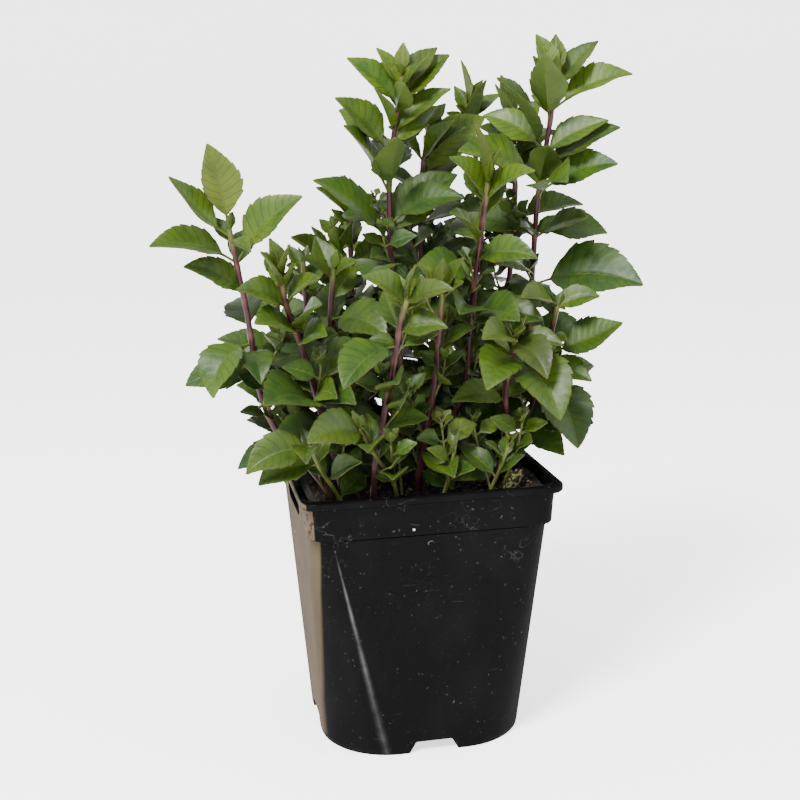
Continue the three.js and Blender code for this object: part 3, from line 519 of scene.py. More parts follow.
class Growth:
    """All the leaves and side sprigs.

    Each keeps clear of other stems' parts. A leaf also keeps clear of its own stem's leaves, unless it is one
    of those given in STEMS or of the crowded pairs at a tip: these may cross.
    """

    def __init__(self):
        self.draws = Draws(DRAW_SEED)
        self.items = []
        self.low = np.empty((0, 3))
        self.high = np.empty((0, 3))
        self.leaves = {stem.name: [] for stem in STEMS}
        self.sprigs = {stem.name: [] for stem in STEMS}
        self.spare = []

    def put(self, shape):
        self.items.append(shape)
        self.low = np.vstack([self.low, shape.low])
        self.high = np.vstack([self.high, shape.high])

    def blocked(self, shape, crowded):
        """Whether a shape runs through another stem's parts, or its own stem's leaves unless crowded."""
        boxes = ((self.low <= shape.high) & (self.high >= shape.low)).all(axis=1)
        others = [self.items[i] for i in np.flatnonzero(boxes)]
        others = [o for o in others if o.owner != shape.owner or (o.is_leaf and not crowded)]
        if not others:
            return False
        triangles = near(np.concatenate([other.triangles for other in others]), shape.low, shape.high)
        edges = near(np.concatenate([other.edges for other in others]), shape.low, shape.high)
        return any_pierced(shape.edges, triangles) or any_pierced(edges, shape.triangles)

    def place(self, owner, leaf, crowded, tries=TRIES, clearance=CLEARANCE):
        """The leaf as it first fits, or None."""
        for turn, rise, size in tries:
            tried = leaf._replace(
                turn=leaf.turn + turn,
                rise=leaf.rise + rise,
                length=leaf.length * size,
                width=leaf.width * size,
            )
            wide = plain_sheet(tried, clearance["edge"], CLEARANCE["root"])
            points, faces = thicken(wide, HALF_BLADE + clearance["face"])
            if not clear_of_pot(points):
                continue
            if not self.blocked(Shape(owner, points, faces), crowded):
                points, _, faces = plain_sheet(tried, 0, CLEARANCE["root"])
                self.put(Shape(owner, points, faces, is_leaf=True))
                return tried
        return None

    def leaf_to_tip(self, route, tip):
        """A leaf that is given in STEMS, from the place of its tip."""
        down, x, y, z, droop = tip
        root = down_from_tip(route, down)
        chord = [x - root[0], y - root[1], z - root[2]]
        half_droop = math.radians(1 if abs(droop) < 1 else droop) / 2
        length = math.hypot(*chord) * half_droop / math.sin(half_droop)
        return Leaf(
            root=root,
            turn=math.degrees(math.atan2(chord[1], chord[0])),
            rise=math.degrees(math.atan2(chord[2], math.hypot(chord[0], chord[1]))) + droop / 2,
            droop=droop,
            roll=math.radians(self.draws.spread(PLACED["roll"])),
            length=length,
            width=length * (PLACED["high_width"] if z > PLACED["high"] else PLACED["low_width"]),
            teeth=teeth_for(length),
        ).turned_to_light()

    def pair_leaf(self, root, turn, pair, size):
        length = PAIR_LENGTH[pair] * size * (1 + self.draws.spread(PAIR_SPREAD["length"]))
        return Leaf(
            root=root,
            turn=turn + self.draws.spread(PAIR_SPREAD["turn"]),
            rise=PAIR_RISE[pair] + self.draws.spread(PAIR_SPREAD["rise"]),
            droop=PAIR_DROOP[pair] + self.draws.spread(PAIR_SPREAD["droop"]),
            roll=math.radians(self.draws.spread(PAIR_SPREAD["roll"])),
            length=length,
            width=length * PAIR_WIDTH[pair],
            teeth=teeth_for(length),
        ).turned_to_light()

    def bud_leaf(self, root, turn, size):
        length = BUD["length"] * size * (1 + self.draws.spread(BUD_SPREAD["length"]))
        return Leaf(
            root=root,
            turn=turn + 90 + self.draws.spread(BUD_SPREAD["turn"]),
            rise=BUD["rise"] + self.draws.spread(BUD_SPREAD["rise"]),
            droop=BUD["droop"] + self.draws.spread(BUD_SPREAD["droop"]),
            roll=math.radians(self.draws.spread(BUD_SPREAD["roll"])),
            length=length,
            width=length * BUD["width"],
            teeth=0,
        ).turned_to_light()

    def keep(self, stem, leaf, crowded, **how):
        placed = self.place(stem.name, leaf, crowded, **how)
        if placed:
            self.leaves[stem.name].append(placed)

    def grow_like_solids(self):
        """The leaves of the solids: those given in STEMS first, then the pairs from the lowest up."""
        for stem in STEMS:
            foot, tip = (radius + CLEARANCE["stem"] for radius in radius_of(stem))
            self.put(Shape(stem.name, *bar(buried(stem.route), foot, tip, stem.turn)))
        for stem in STEMS:
            for tip in stem.tips:
                self.keep(stem, self.leaf_to_tip(stem.route, tip), crowded=True)
        for pair in reversed(range(len(PAIR_SHARE))):
            for stem in STEMS:
                root = down_from_tip(stem.route, sum(PAIR_GAP[: pair + 1]) * stem.size)
                for hand in (0, 180):
                    turn = stem.turn + pair * 90 + hand
                    leaf = self.pair_leaf(root, turn, pair, stem.size)
                    bud = self.bud_leaf(root, turn, stem.size)
                    share = PAIR_SHARE[pair] * (1 if stem.tips else UNPLACED_SHARE)
                    is_left = self.draws.value() < share
                    has_bud = self.draws.value() < BUD["share"] and pair >= BUD["first_pair"]
                    if not root or root[2] <= LOWEST_ROOT:
                        continue
                    if is_left:
                        self.keep(stem, leaf, crowded=pair < CROWDED_PAIRS)
                    else:
                        self.spare.append((stem, pair, leaf))
                    if has_bud:
                        self.keep(stem, bud, crowded=False)

    def grow_more(self):
        """The finer foliage: more of the pairs, side sprigs in the leaves' axils, and young shoots."""
        more = {"tries": MORE_TRIES, "clearance": MORE_CLEARANCE}
        for stem, pair, leaf in self.spare:
            share = MORE_SHARE[pair] if stem.tips else max(MORE_SHARE[pair], MORE_SHARE_LEAST)
            if self.draws.value() < share:
                self.keep(stem, leaf, crowded=False, **more)
        for pair in reversed(range(len(PAIR_SHARE))):
            for stem in STEMS:
                self.grow_sprigs(stem, pair, more)

    def grow_sprigs(self, stem, pair, more):
        root = down_from_tip(stem.route, sum(PAIR_GAP[: pair + 1]) * stem.size)
        for hand in (0, 180):
            turn = stem.turn + pair * 90 + hand + self.draws.spread(SPRIG_TURN)
            length = self.draws.between(*SPRIG_LENGTH)
            size = self.draws.between(*SPRIG_SIZE)
            lean = self.draws.between(*SPRIG_LEAN)
            grows = self.draws.value() < SPRIG_SHARE[pair]
            if grows and root and root[2] > LOWEST_SPRIG:
                route = sprig_route(root, turn, lean, length)
                self.grow_sprig(Sprig(stem.name, turn + 90, size, route, SPRIG_RADIUS), more)

    def grow_young_shoots(self, count):
        """Low shoots that rise from the soil between the stems."""
        more = {"tries": MORE_TRIES, "clearance": MORE_CLEARANCE}
        for index in range(count):
            owner = f"young_{index}"
            self.leaves[owner] = []
            self.sprigs[owner] = []
            at_front = index % FRONT_ROW["every"] == 0
            x = self.draws.spread(YOUNG_REACH)
            y = self.draws.spread(FRONT_ROW["spread"] if at_front else YOUNG_REACH)
            y += FRONT_ROW["y"] if at_front else 0
            height = self.draws.between(*(FRONT_ROW["height"] if at_front else YOUNG_HEIGHT))
            foot = (x, y, YOUNG_SHOOT["foot"])
            route = sprig_route(foot, self.draws.value() * 360, YOUNG_SHOOT["lean"], height)
            turn = self.draws.value() * 360
            self.grow_sprig(Sprig(owner, turn, YOUNG_SHOOT["size"], route, YOUNG_RADIUS), more)

    def grow_sprig(self, sprig, more):
        """A side shoot with as many of its pairs as fit. One with no leaf is left out."""
        axis = Shape(sprig.owner, *bar(sprig.route[1:], sprig.radius[0], sprig.radius[1], sprig.turn))
        if self.blocked(axis, crowded=False) or not clear_of_pot(axis.points):
            return
        placed = []
        for pair in range(SPRIG_PAIRS):
            root = down_from_tip(sprig.route, sum(PAIR_GAP[: pair + 1]) * sprig.size)
            if not root:
                break
            for hand in (0, 180):
                leaf = self.pair_leaf(root, sprig.turn + pair * 90 + hand, pair, sprig.size)
                leaf = leaf._replace(
                    width=leaf.length * SPRIG_LEAF["width"],
                    rise=leaf.rise - SPRIG_LEAF["lower"],
                )
                placed.append(self.place(sprig.owner, leaf, crowded=pair < CROWDED_PAIRS, **more))
        placed = [leaf for leaf in placed if leaf]
        if placed:
            self.put(axis)
            self.sprigs[sprig.owner].append(sprig)
            self.leaves[sprig.owner] += placed


def radius_of(stem):
    return SHOOT_RADIUS if stem.low else STEM_RADIUS


def buried(route):
    """A route with its foot in the soil."""
    x, y, _ = route[0]
    return [(x, y, STEM_FOOT), *route]


def sprig_route(root, turn, lean, length):
    """A short shoot that leaves a stem at an angle and curves up."""
    route = [tuple(root)]
    steps = 4
    for step in range(steps):
        angle = math.radians(lean * (1 - step / steps) ** 0.7)
        flat = math.sin(angle) * length / steps
        x, y, z = route[-1]
        heading = math.radians(turn)
        route.append((x + flat * math.cos(heading), y + flat * math.sin(heading),
                      z + math.cos(angle) * length / steps))
    return route


# ---------------------------------------------------------------------------------------------------------
# Fine leaves and stems
# ---------------------------------------------------------------------------------------------------------

# The places of a blade's columns from its midrib (0) to its margin (1), by the least length of leaf.
COLUMNS = [
    (22, [0, 0.12, 0.5, 0.91, 1]),
    (12, [0, 0.4, 0.9, 1]),
    (0, [0, 0.55, 1]),
]
TOOTH_LENGTH = 3.7
TEETH = (4, 10)
# The margin at the three rows of a tooth: how far out, and how far towards the tip, in teeth.
TOOTH_OUT = np.array([0.955, 1.01, 1.055])
TOOTH_FORWARD = np.array([-0.1, 0.1, 0.45])
VEIN_SLANT = 0.17
RIB = {"base": 0.55, "tip": 0.12}
STALK_HALF = 0.55
SPINE_STEP = 3.0
CORNER_ROUNDING = 7.0
JOINT = {"swelling": 0.2, "length": 1.5}


class Skin:
    """The points, faces, edges and named values of a piece, gathered part by part. Lengths are in metres."""

    VALUES = ("age", "chance", "blush", "vein", "edge", "thickness")

    def __init__(self):
        self.count = 0
        self.points = []
        self.faces = []
        self.edges = []
        self.materials = []
        self.values = {name: [] for name in self.VALUES}
        self.across = []

    def add(self, points, faces=(), edges=(), materials=(), across=None, **values):
        """Adds a part, from points in millimetres."""
        count = len(points)
        self.points.append(np.asarray(points) * MM)
        self.faces += [tuple(i + self.count for i in face) for face in faces]
        self.edges += [(a + self.count, b + self.count) for a, b in edges]
        self.materials += list(materials)
        self.across.append(np.zeros((count, 3)) if across is None else across)
        for name in self.VALUES:
            self.values[name].append(np.broadcast_to(values.get(name, 0.0), (count,)))
        self.count += count

    def mesh(self, name, materials):
        mesh = bpy.data.meshes.new(name)
        mesh.from_pydata(np.concatenate(self.points).tolist(), self.edges, self.faces)
        for material in materials:
            mesh.materials.append(material)
        mesh.polygons.foreach_set("material_index", self.materials)
        for name, parts in self.values.items():
            layer = mesh.attributes.new(name, "FLOAT", "POINT")
            layer.data.foreach_set("value", np.concatenate(parts).astype(np.float32))
        layer = mesh.attributes.new("across", "FLOAT_VECTOR", "POINT")
        layer.data.foreach_set("vector", np.concatenate(self.across).astype(np.float32).ravel())
        return mesh


def smooth_step(value):
    value = np.clip(value, 0, 1)
    return value * value * (3 - 2 * value)


def columns_of(leaf):
    """A blade's columns from its left margin (1) over the midrib to its right margin (-1)."""
    half = next(columns for least, columns in COLUMNS if leaf.length >= least)
    return np.array(half[::-1] + [-place for place in half[1:]])


def add_leaf(skin, leaf, look, thickness, relief):
    """A stalk and a toothed blade, folded along its midrib and puffed up between its side veins."""
    across = columns_of(leaf)[None, :]
    out = np.abs(across)
    teeth = int(np.clip(round(leaf.length / TOOTH_LENGTH), *TEETH))
    steps = teeth * 3
    begin = 0.5 / leaf.length
    stalk = STALK["share"] + STALK["least"] / leaf.length if leaf.teeth > 1 else 2.6 / leaf.length

    # The rows: along the stalk, and then along the blade, slanted as its side veins are.
    row = np.arange(steps)
    m = (row / steps)[:, None]
    t = m + VEIN_SLANT * np.sin(np.pi * m) * out**1.4
    t = t + (out == 1) * (TOOTH_FORWARD[row % 3] / teeth)[:, None] * np.sin(np.pi * m)
    t = np.clip(t, 0, 0.995)
    taper = 0.72 + 0.28 * smooth_step(t / 0.3)
    reach = leaf.width / 2 * breadth(t) * taper * (1 - look["point"] * smooth_step((t - 0.5) / 0.5))
    reach *= 1 + (out == 1) * (TOOTH_OUT[row % 3][:, None] - 1) * smooth_step(t / 0.15)
    width = across * np.maximum(reach, STALK_HALF)
    stalk_rows = 4 if leaf.teeth > 1 else 2
    stalk_share = np.linspace(begin, stalk, stalk_rows, endpoint=False)[:, None] + 0 * out
    share = np.vstack([stalk_share, stalk + (1 - stalk) * t])
    width = np.vstack([across * STALK_HALF + 0 * stalk_share, width])
    t = np.vstack([0 * stalk_share, t])
    in_stalk = np.vstack([1 + 0 * stalk_share, 0 * m + 0 * out])

    # The height over the flat: a soft fold, halves that arch, a wavy margin, and sunk veins.
    middle, beside, facing = leaf_frame(leaf, share, leaf.length)
    soft = 0.5
    height = math.sin(FOLD) * look["fold"] * (np.sqrt(width**2 + soft**2) - soft)
    height -= look["arch"] * width**2 / max(leaf.width / 2, 1)
    wave = np.sin(2 * np.pi * (look["waves"] * t + look["phase"] + 0.31 * (across > 0)))
    height += look["wave"] * leaf.length * wave * out**2 * np.sin(np.pi * t)
    is_vein = np.concatenate([np.zeros(stalk_rows), row % 3 == 0])[:, None] * (row_mask(t) & (out < 1))
    puff = np.sin(np.pi * np.clip(out, 0, 1)) * np.sin(np.pi * t) ** 0.5
    height += relief * min(leaf.length / 30, 1) * puff * (0.6 - 1.6 * is_vein)
    points = middle + beside * (width * math.cos(FOLD))[..., None] + facing * height[..., None]

    normal = unit(np.cross(np.gradient(points, axis=1), np.gradient(points, axis=0)))
    blade = smooth_step(t / 0.12) * (1 - in_stalk)
    stalk_round = STALK_HALF * np.sqrt(np.clip(1 - out**2, 0.04, 1))
    half = thickness / 2 * np.where(out == 1, 0.55, 1)
    over = blade * half + (1 - blade) * stalk_round
    rib = (RIB["base"] + (RIB["tip"] - RIB["base"]) * t) * np.exp(-((width / 0.6) ** 2))
    rib = rib * min(leaf.length / 28, 1)
    under = blade * (half + rib) + (1 - blade) * stalk_round
    tip = leaf_frame(leaf, 1.0, leaf.length)
    above = (points + normal * over[..., None]).reshape(-1, 3)
    below = (points - normal * under[..., None]).reshape(-1, 3)
    upper = np.vstack([above, tip[0] + tip[2] * thickness * 0.2])
    lower = np.vstack([below, tip[0] - tip[2] * thickness * 0.2])

    rows, cols = width.shape
    faces, sides = grid_faces(rows, cols)
    vein = np.where(out == 0, 1.0, 0.7 * is_vein)
    vein = np.maximum(vein, in_stalk)
    edge = (out == 1) * (1 - in_stalk)
    blush = look["blush"] + 0.5 * look["stalk_blush"] * (1 - blade)
    skin.add(
        np.vstack([upper, lower]),
        faces=faces,
        materials=sides,
        age=look["age"],
        chance=look["chance"],
        blush=twice(blush + 0 * out),
        vein=twice(vein + 0 * width),
        edge=twice(edge + 0 * width),
    )


def row_mask(t):
    return (t > 0.06) & (t < 0.93)


def twice(grid):
    """A grid's values with the tip's added, for a blade's two faces."""
    flat = np.append(grid.ravel(), grid[-1, grid.shape[1] // 2])
    return np.concatenate([flat, flat])


FACES_OF_GRID = {}


def grid_faces(rows, cols):
    """The faces of a blade's closed skin, and the material of each: 0 above, 1 below."""
    if (rows, cols) in FACES_OF_GRID:
        return FACES_OF_GRID[rows, cols]
    count = rows * cols + 1
    tip = count - 1
    upper = []
    for r in range(rows - 1):
        for c in range(cols - 1):
            a = r * cols + c
            upper.append((a, a + 1, a + 1 + cols, a + cols))
    last = (rows - 1) * cols
    upper += [(last + c, last + c + 1, tip) for c in range(cols - 1)]
    lower = [tuple(i + count for i in face[::-1]) for face in upper]
    loop = [r * cols for r in range(rows)] + [tip]
    loop += [r * cols + cols - 1 for r in reversed(range(rows))]
    loop += list(range(cols - 2, 0, -1))
    rim = [(a, b, b + count, a + count) for a, b in zip(loop, loop[1:] + loop[:1])]
    FACES_OF_GRID[rows, cols] = (upper + lower + rim, [0] * (len(upper) + len(rim)) + [1] * len(lower))
    return grid_faces(rows, cols)


def smooth_route(route):
    """A route with its corners rounded, and a point about every SPINE_STEP along it."""
    points = [np.array(point, float) for point in route]
    curve = [points[0]]
    for before, corner, after in zip(points, points[1:], points[2:]):
        reach = min(CORNER_ROUNDING, math.dist(before, corner) * 0.45, math.dist(corner, after) * 0.45)
        start = corner + (before - corner) / math.dist(before, corner) * reach
        end = corner + (after - corner) / math.dist(after, corner) * reach
        for s in np.linspace(0, 1, 4):
            curve.append(start * (1 - s) ** 2 + corner * 2 * s * (1 - s) + end * s * s)
    curve.append(points[-1])
    fine = [curve[0]]
    for a, b in zip(curve, curve[1:]):
        steps = max(1, round(math.dist(a, b) / SPINE_STEP))
        fine += [a + (b - a) * (s + 1) / steps for s in range(steps)]
    return np.array(fine)


def add_spine(skin, line, turn, radius, joints, look):
    """A stem's middle line with its thickness, which swells at its joints. Nodes turn it into a stem."""
    points, across, _ = spine(line, turn)
    gaps = np.linalg.norm(np.diff(points, axis=0), axis=1)
    down = np.append(np.cumsum(gaps[::-1])[::-1], 0)
    foot, tip = radius
    thickness = tip + (foot - tip) * down / down[0]
    for joint in joints:
        thickness = thickness * (1 + JOINT["swelling"] * np.exp(-(((down - joint) / JOINT["length"]) ** 2)))
    skin.add(
        points,
        edges=[(i, i + 1) for i in range(len(points) - 1)],
        across=across,
        thickness=thickness * MM,
        age=np.clip(look["age"] + down / look["ageing"], 0, 1),
        blush=look["blush"] * smooth_step(down / 12) * (1 - 0.75 * smooth_step((down - 70) / 120)),
        chance=look["chance"],
        vein=sum((np.exp(-(((down - joint) / 1.6) ** 2)) for joint in joints), 0 * down),
    )


def joints_of(size, route):
    """How far down from the tip each pair of leaves stands."""
    places = np.cumsum(PAIR_GAP) * size
    return places[places < route_length(route) - 4]


def leaf_look(leaf, stem, looks):
    """How a leaf looks, by how far below its stem's tip it grows, by how low its root stands, and by chance.
    """
    down = stem.route[-1][2] - leaf.root[2]
    is_side = leaf.length < 15 and down > 30
    # A leaf is also darker the lower its root stands on the plant.
    age = 0.02 + down / 170 + (240 - leaf.root[2]) / 420 + looks.uniform(-0.15, 0.2)
    if is_side:
        age = looks.uniform(0.25, 0.95)
    return {
        "age": min(max(age, 0), 1),
        "chance": looks.random(),
        "blush": 0.25 * max(0, 1 - down / 10) * looks.random() + looks.uniform(0, 0.05),
        "stalk_blush": looks.uniform(0, 0.6),
        "fold": looks.uniform(0.8, 1.3) + 0.6 * max(0, 1 - down / 60),
        "point": looks.uniform(0.1, 0.3),
        "arch": looks.uniform(0.02, 0.12),
        "waves": looks.uniform(1.2, 2.4),
        "phase": looks.random(),
        "wave": looks.uniform(0.006, 0.02),
    }


def add_leafy_stem(skin, stem, growth, looks, settings):
    """A stem or young shoot with its side sprigs and all their leaves."""
    main = {"age": 0, "ageing": 190, "blush": 1.0, "chance": looks.random()}
    side = {"age": 0.1, "ageing": 260, "blush": 0.25, "chance": looks.random()}
    line = smooth_route(buried(stem.route))
    is_young = stem.low
    joints = joints_of(stem.size, stem.route)
    add_spine(skin, line, stem.turn, radius_of(stem), joints, side if is_young else main)
    for sprig in growth.sprigs[stem.name]:
        joints = joints_of(sprig.size, sprig.route)
        add_spine(skin, smooth_route(sprig.route), sprig.turn, sprig.radius, joints, side)
    for leaf in growth.leaves[stem.name]:
        look = leaf_look(leaf, stem, looks)
        add_leaf(skin, leaf, look, settings.blade_thickness / MM, settings.vein_depth / MM)


def add_young_shoot(skin, owner, growth, looks, settings):
    """A low shoot from the soil, with its leaves."""
    for sprig in growth.sprigs[owner]:
        look = {"age": 0.1, "ageing": 260, "blush": 0.2 * looks.random(), "chance": looks.random()}
        add_spine(skin, smooth_route(sprig.route), sprig.turn, sprig.radius,
                  joints_of(sprig.size, sprig.route), look)
    tone = looks.uniform(0.0, 0.55)
    for leaf in growth.leaves[owner]:
        look = leaf_look(leaf, STEMS[0], looks) | {"age": tone + looks.uniform(0, 0.15)}
        add_leaf(skin, leaf, look, settings.blade_thickness / MM, settings.vein_depth / MM)


# ---------------------------------------------------------------------------------------------------------
# Node trees
# ---------------------------------------------------------------------------------------------------------


def socket_of(sockets, name):
    """A node's socket by its identifier, or else by its name."""
    for socket in sockets:
        if socket.identifier == name:
            return socket
    for socket in sockets:
        if socket.name == name and socket.enabled:
            return socket
    raise RuntimeError(f"there is no socket named {name}")


def wire(tree, kind, inputs=None, **settings):
    """Adds a node, sets it, and links its inputs to sockets or gives them values."""
    node = tree.nodes.new(kind)
    for name, value in settings.items():
        setattr(node, name, value)
    for name, value in (inputs or {}).items():
        socket = socket_of(node.inputs, name)
        if isinstance(value, bpy.types.NodeSocket):
            tree.links.new(value, socket)
        else:
            socket.default_value = value
    return node


def geometry_tree(name, inputs):
    """A Geometry Nodes tree with named inputs: the tree, its first node, its last node, its sockets."""
    tree = bpy.data.node_groups.new(name, "GeometryNodeTree")
    tree.interface.new_socket("Geometry", in_out="INPUT", socket_type="NodeSocketGeometry")
    identifiers = {}
    for label, kind in inputs.items():
        socket = tree.interface.new_socket(label, in_out="INPUT", socket_type=f"NodeSocket{kind}")
        identifiers[label] = socket.identifier
    tree.interface.new_socket("Geometry", in_out="OUTPUT", socket_type="NodeSocketGeometry")
    return tree, tree.nodes.new("NodeGroupInput"), tree.nodes.new("NodeGroupOutput"), identifiers


def named(tree, name, kind="FLOAT"):
    """A named attribute's value."""
    node = wire(tree, "GeometryNodeInputNamedAttribute", {"Name": name}, data_type=kind)
    return socket_of(node.outputs, "Attribute")


def shaped_by(mesh, name, tree, identifiers, values):
    """The plain mesh that a tree makes of a mesh."""
    carrier = bpy.data.objects.new(name, mesh)
    bpy.context.scene.collection.objects.link(carrier)
    modifier = carrier.modifiers.new(name, "NODES")
    modifier.node_group = tree
    for label, value in values.items():
        modifier[identifiers[label]] = value
    graph = bpy.context.evaluated_depsgraph_get()
    made = bpy.data.meshes.new_from_object(carrier.evaluated_get(graph))
    bpy.data.objects.remove(carrier)
    bpy.data.meshes.remove(mesh)
    made.name = name
    return made


def piece_of(name, mesh, slot, *nodes):
    """A finished piece at the origin that rides on the body and stands for nodes of the frame."""
    piece = bpy.data.objects.new(name, mesh)
    bpy.context.scene.collection.objects.link(piece)
    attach(piece, BODY_NAME)
    if nodes:
        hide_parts(*nodes)
    return piece


def smooth(mesh, angle):
    """Smooth shading, with the edges that turn more than an angle kept sharp."""
    mesh.polygons.foreach_set("use_smooth", [True] * len(mesh.polygons))
    mesh.set_sharp_from_angle(angle=math.radians(angle))


def stem_tree():
    """Turns the loose lines of a mesh into four-sided stems with rounded corners, and keeps its faces."""
    tree, start, end, identifiers = geometry_tree(
        "leafy stem", {"Corner rounding": "Float", "Bark": "Material"}
    )
    loose = wire(tree, "GeometryNodeInputMeshEdgeNeighbors")
    is_loose = wire(tree, "FunctionNodeCompare", {"A_INT": loose.outputs[0], "B_INT": 0},
                    data_type="INT", operation="EQUAL")
    curve = wire(tree, "GeometryNodeMeshToCurve",
                 {"Mesh": start.outputs["Geometry"], "Selection": is_loose.outputs["Result"]})
    turned = wire(tree, "GeometryNodeSetCurveNormal", {"Curve": curve.outputs["Curve"]}, mode="FREE")
    tree.links.new(named(tree, "across", "FLOAT_VECTOR"), socket_of(turned.inputs, "Normal"))
    side = math.sqrt(2)
    square = wire(tree, "GeometryNodeCurvePrimitiveQuadrilateral", {"Width": side, "Height": side})
    rounded = wire(tree, "GeometryNodeFilletCurve",
                   {"Curve": square.outputs["Curve"], "Radius": start.outputs["Corner rounding"], "Count": 2},
                   mode="POLY")
    tube = wire(tree, "GeometryNodeCurveToMesh",
                {"Curve": turned.outputs["Curve"], "Profile Curve": rounded.outputs["Curve"],
                 "Scale": named(tree, "thickness"), "Fill Caps": True})
    barked = wire(tree, "GeometryNodeSetMaterial",
                  {"Geometry": tube.outputs["Mesh"], "Material": start.outputs["Bark"]})
    blades = wire(tree, "GeometryNodeDeleteGeometry",
                  {"Geometry": start.outputs["Geometry"], "Selection": is_loose.outputs["Result"]},
                  domain="EDGE")
    whole = wire(tree, "GeometryNodeJoinGeometry")
    tree.links.new(barked.outputs["Geometry"], whole.inputs[0])
    tree.links.new(blades.outputs["Geometry"], whole.inputs[0])
    real = wire(tree, "GeometryNodeRealizeInstances", {"Geometry": whole.outputs["Geometry"]})
    tree.links.new(real.outputs["Geometry"], end.inputs["Geometry"])
    return tree, identifiers


def scatter_tree():
    """Scatters small lumps over a mesh, each turned, sized, flattened and tinted by chance."""
    inputs = {
        "Density": "Float", "Smallest": "Float", "Largest": "Float", "Slimness": "Float", "Seed": "Int",
        "Least mask": "Float", "Material": "Material",
    }
    tree, start, end, identifiers = geometry_tree("scatter", inputs)
    given = start.outputs
    wanted = wire(tree, "FunctionNodeCompare", {"A": named(tree, "mask"), "B": given["Least mask"]},
                  data_type="FLOAT", operation="GREATER_THAN")
    points = wire(tree, "GeometryNodeDistributePointsOnFaces",
                  {"Mesh": given["Geometry"], "Selection": wanted.outputs["Result"],
                   "Density": given["Density"], "Seed": given["Seed"]})
    ball = wire(tree, "GeometryNodeMeshIcoSphere", {"Radius": 1.0, "Subdivisions": 2})
    place = wire(tree, "GeometryNodeInputPosition")
    lump = wire(tree, "ShaderNodeTexNoise", {"Scale": 1.4, "Detail": 0.0})
    dent = wire(tree, "ShaderNodeMath", {"Value": lump.outputs[0], "Value_001": 0.45}, operation="ADD")
    push = wire(tree, "ShaderNodeVectorMath",
                {"Vector": place.outputs["Position"], "Scale": dent.outputs[0]}, operation="SCALE")
    rough = wire(tree, "GeometryNodeSetPosition",
                 {"Geometry": ball.outputs["Mesh"], "Position": push.outputs[0]})
    turn = wire(tree, "FunctionNodeRandomValue",
                {"Min": (-3.2, -3.2, -3.2), "Max": (3.2, 3.2, 3.2), "Seed": given["Seed"]},
                data_type="FLOAT_VECTOR")
    size = wire(tree, "FunctionNodeRandomValue",
                {"Min_001": given["Smallest"], "Max_001": given["Largest"], "Seed": given["Seed"]},
                data_type="FLOAT")
    radius = socket_of(size.outputs, "Value_001")
    slim = wire(tree, "ShaderNodeMath",
                {"Value": radius, "Value_001": given["Slimness"]}, operation="MULTIPLY")
    scale = wire(tree, "ShaderNodeCombineXYZ",
                 {"X": radius, "Y": slim.outputs[0], "Z": slim.outputs[0]})
    placed = wire(tree, "GeometryNodeInstanceOnPoints",
                  {"Points": points.outputs["Points"], "Instance": rough.outputs["Geometry"],
                   "Rotation": turn.outputs["Value"], "Scale": scale.outputs[0]})
    tint = wire(tree, "FunctionNodeRandomValue",
                {"Min_001": 0.0, "Max_001": 1.0, "Seed": 5}, data_type="FLOAT")
    tinted = wire(tree, "GeometryNodeStoreNamedAttribute",
                  {"Geometry": placed.outputs["Instances"], "Name": "chance",
                   "Value": socket_of(tint.outputs, "Value_001")},
                  data_type="FLOAT", domain="INSTANCE")
    real = wire(tree, "GeometryNodeRealizeInstances", {"Geometry": tinted.outputs["Geometry"]})
    done = wire(tree, "GeometryNodeSetMaterial",
                {"Geometry": real.outputs["Geometry"], "Material": given["Material"]})
    tree.links.new(done.outputs["Geometry"], end.inputs["Geometry"])
    return tree, identifiers


# ---------------------------------------------------------------------------------------------------------
# The pot and the soil
# ---------------------------------------------------------------------------------------------------------

CORNER_STEPS = 14
SIDE_STEPS = 10
BOW = 0.45


def ring(half, corner, z, bow=0.0):
    """A square with rounded corners at height z, whose sides bow inwards in the middle."""
    points = []
    reach = half - corner
    for quarter in range(4):
        angle = quarter * math.pi / 2
        ahead = np.array([math.cos(angle), math.sin(angle)])
        beside = np.array([-math.sin(angle), math.cos(angle)])
        for s in np.linspace(-1, 1, SIDE_STEPS, endpoint=False):
            points.append(ahead * (half - bow * (1 - s * s)) + beside * reach * s)
        for step in range(CORNER_STEPS):
            bend = step / CORNER_STEPS * math.pi / 2
            outward = ahead * math.cos(bend) + beside * math.sin(bend)
            points.append((ahead + beside) * reach + corner * outward)
    return np.column_stack([np.array(points), np.full(len(points), z)])


def loft(rings, closed=True):
    """Rings joined in turn: their points and faces. A closed loft has a flat face at both ends."""
    count = len(rings[0])
    faces = []
    for level in range(len(rings) - 1):
        for i in range(count):
            a = level * count + i
            b = level * count + (i + 1) % count
            faces.append((a, b, b + count, a + count))
    if closed:
        last = (len(rings) - 1) * count
        faces.append(tuple(range(count))[::-1])
        faces.append(tuple(range(last, last + count)))
    return np.concatenate(rings), faces


def arc(half, z, radius, first, last, steps):
    """Half-widths and heights round an arc, with angles in degrees from straight outwards."""
    return [
        (half + radius * math.cos(math.radians(a)), z + radius * math.sin(math.radians(a)))
        for a in np.linspace(first, last, steps)
    ]


def body_at(z):
    """The body's half-width, corner radius and inward bow at height z."""
    share = z / (POT_HEIGHT - BAND["depth"])
    half = BODY["foot_half"] + (BODY["top_half"] - BODY["foot_half"]) * share
    corner = BODY["foot_corner"] + (BODY["top_corner"] - BODY["foot_corner"]) * share
    return half, corner, BOW * math.sin(math.pi * min(max(share, 0), 1))


